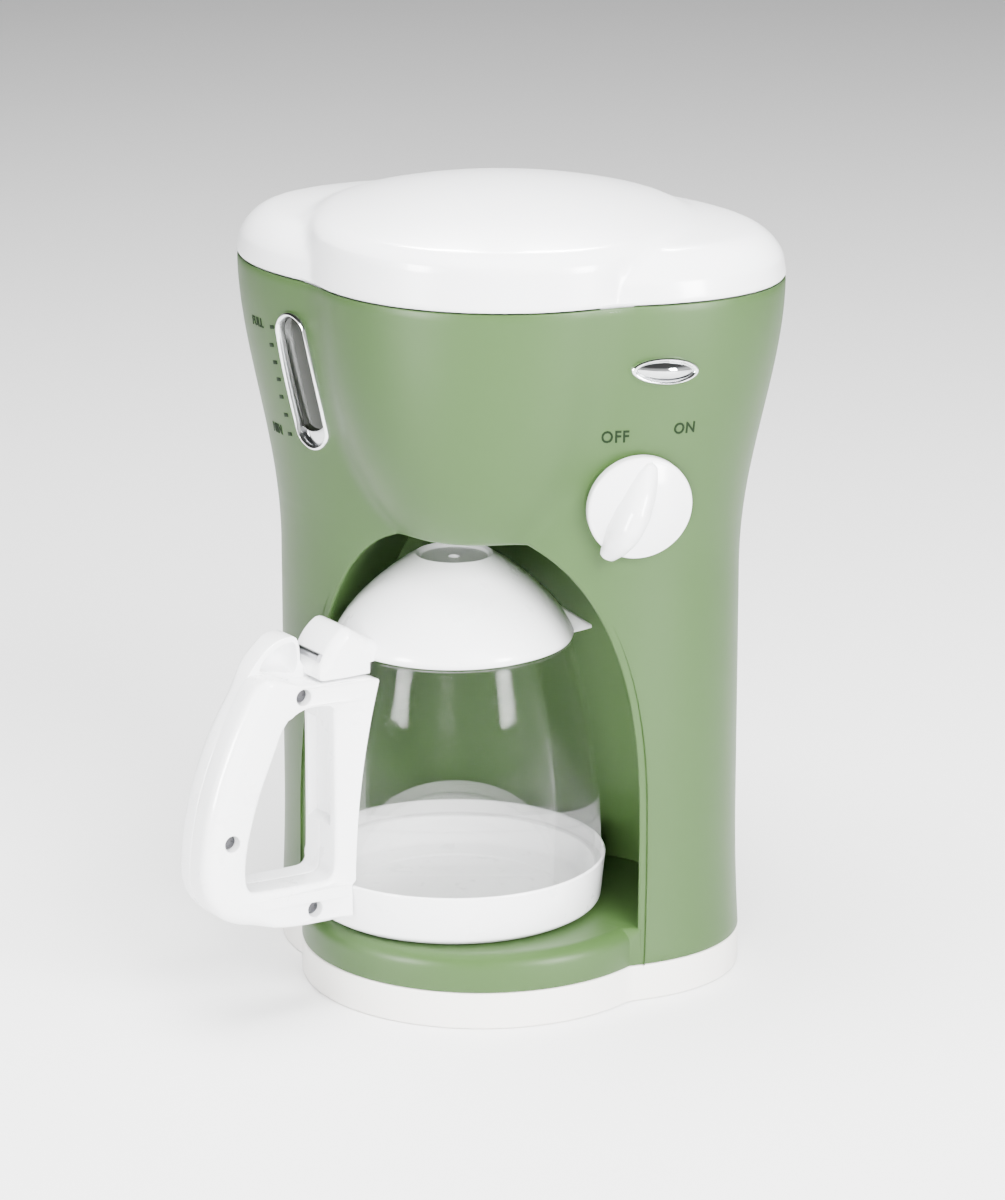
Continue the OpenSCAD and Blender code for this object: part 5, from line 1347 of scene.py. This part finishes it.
slotOf = {row["node"]: row["material_slot"] for row in frame["record"]["subparts"]}
for name, piece in frame["nodes"].items():
    if piece.hide_render:
        continue
    piece.data.materials.clear()
    piece.data.materials.append(finishes["screw_steel" if name == "handle_screws" else slotOf[name]])
print("finishes given")


# Floor, light and camera

studio = dict(
    camera=(486.9, -1240.7, 501.3), azimuth=21.5, elevation=16.46, focalPixels=4681.8, imageWidth=1005.0,
    floorColour=(0.86, 0.86, 0.86), floorReach=4.0,
    worldLow=1.0, worldHigh=0.12, worldSide=0.6, worldStrength=0.75)

# Name, place, size, power, the point it faces and whether it shows in gloss alone. The soft lights only give
# light, and the windows and ceiling lights only show as reflections.
lights = (("key", (1050, -850, 900), (800, 700), 78, (0, 0, 110), False),
          ("top", (0, -150, 1200), (900, 900), 60, (0, 0, 110), False),
          ("front", (350, -1400, 300), (400, 300), 34, (0, 0, 90), False),
          ("left window", (-590, -1160, 400), (300, 460), 45, (0, -30, 120), True),
          ("right window", (1210, -475, 400), (300, 460), 45, (0, -30, 120), True),
          ("left ceiling", (-461, 652, 1240), (260, 140), 22, (0, -30, 220), True),
          ("right ceiling", (-112, 784, 1246), (260, 140), 22, (0, -30, 220), True))


def addLight(name, place, size, power, target, mirrored):
    data = bpy.data.lights.new(name, "AREA")
    data.shape = "RECTANGLE"
    data.size, data.size_y = size[0] * mm, size[1] * mm
    data.energy = power
    light = bpy.data.objects.new(name, data)
    light.location = Vector(place) * mm
    light.rotation_euler = (Vector(target) - Vector(place)).to_track_quat("-Z", "Y").to_euler()
    light.visible_glossy, light.visible_diffuse = mirrored, not mirrored
    bpy.context.scene.collection.objects.link(light)


floorMesh = bpy.data.meshes.new("floor")
reach = studio["floorReach"]
corners = [(x * reach, y * reach, 0) for x, y in ((-1, -1), (1, -1), (1, 1), (-1, 1))]
floorMesh.from_pydata(corners, [], [(0, 1, 2, 3)])
floorFinish = mouldedPlastic("plain pale floor", studio["floorColour"], 0.6, grainDepth=0.0, tone=0.004)
floorMesh.materials.append(floorFinish)
floor = bpy.data.objects.new("floor", floorMesh)
bpy.context.scene.collection.objects.link(floor)

world = bpy.data.worlds.new("studio")
world.use_nodes = True
background = world.node_tree.nodes["Background"]
background.inputs["Strength"].default_value = studio["worldStrength"]
worldNode = lambda kind: world.node_tree.nodes.new("ShaderNode" + kind)
sky, split, fade = worldNode("TexCoord"), worldNode("SeparateXYZ"), worldNode("ValToRGB")
levels = (0.12, studio["worldLow"]), (0.45, studio["worldHigh"])      # bright at the horizon, darker overhead
for stop, (at, level) in zip(fade.color_ramp.elements, levels):
    stop.position = at
    stop.color = (level, level, level, 1)
side, both = worldNode("Math"), worldNode("Math")                     # and darker on the left
side.operation, both.operation = "MULTIPLY_ADD", "MULTIPLY"
side.inputs[1].default_value, side.inputs[2].default_value = studio["worldSide"], 1.0
for start, end in ((sky.outputs["Generated"], split.inputs[0]), (split.outputs["Z"], fade.inputs["Fac"]),
                   (split.outputs["X"], side.inputs[0]), (fade.outputs["Color"], both.inputs[0]),
                   (side.outputs[0], both.inputs[1]), (both.outputs[0], background.inputs["Color"])):
    world.node_tree.links.new(start, end)
bpy.context.scene.world = world
for light in lights:
    addLight(*light)

azimuth, elevation = math.radians(studio["azimuth"]), math.radians(studio["elevation"])
level = math.cos(elevation)
back = Vector((math.sin(azimuth) * level, -math.cos(azimuth) * level, math.sin(elevation)))
right = Vector((math.cos(azimuth), math.sin(azimuth), 0))
lens = bpy.data.cameras.new("camera")
lens.sensor_fit = "HORIZONTAL"
lens.sensor_width = 36
lens.lens = 36 * studio["focalPixels"] / studio["imageWidth"]
lens.clip_end = 20
camera = bpy.data.objects.new("camera", lens)
turned = Matrix((right, back.cross(right), back)).transposed().to_4x4()
camera.matrix_world = Matrix.Translation(Vector(studio["camera"]) * mm) @ turned
bpy.context.scene.collection.objects.link(camera)
bpy.context.scene.camera = camera
print("studio ready")

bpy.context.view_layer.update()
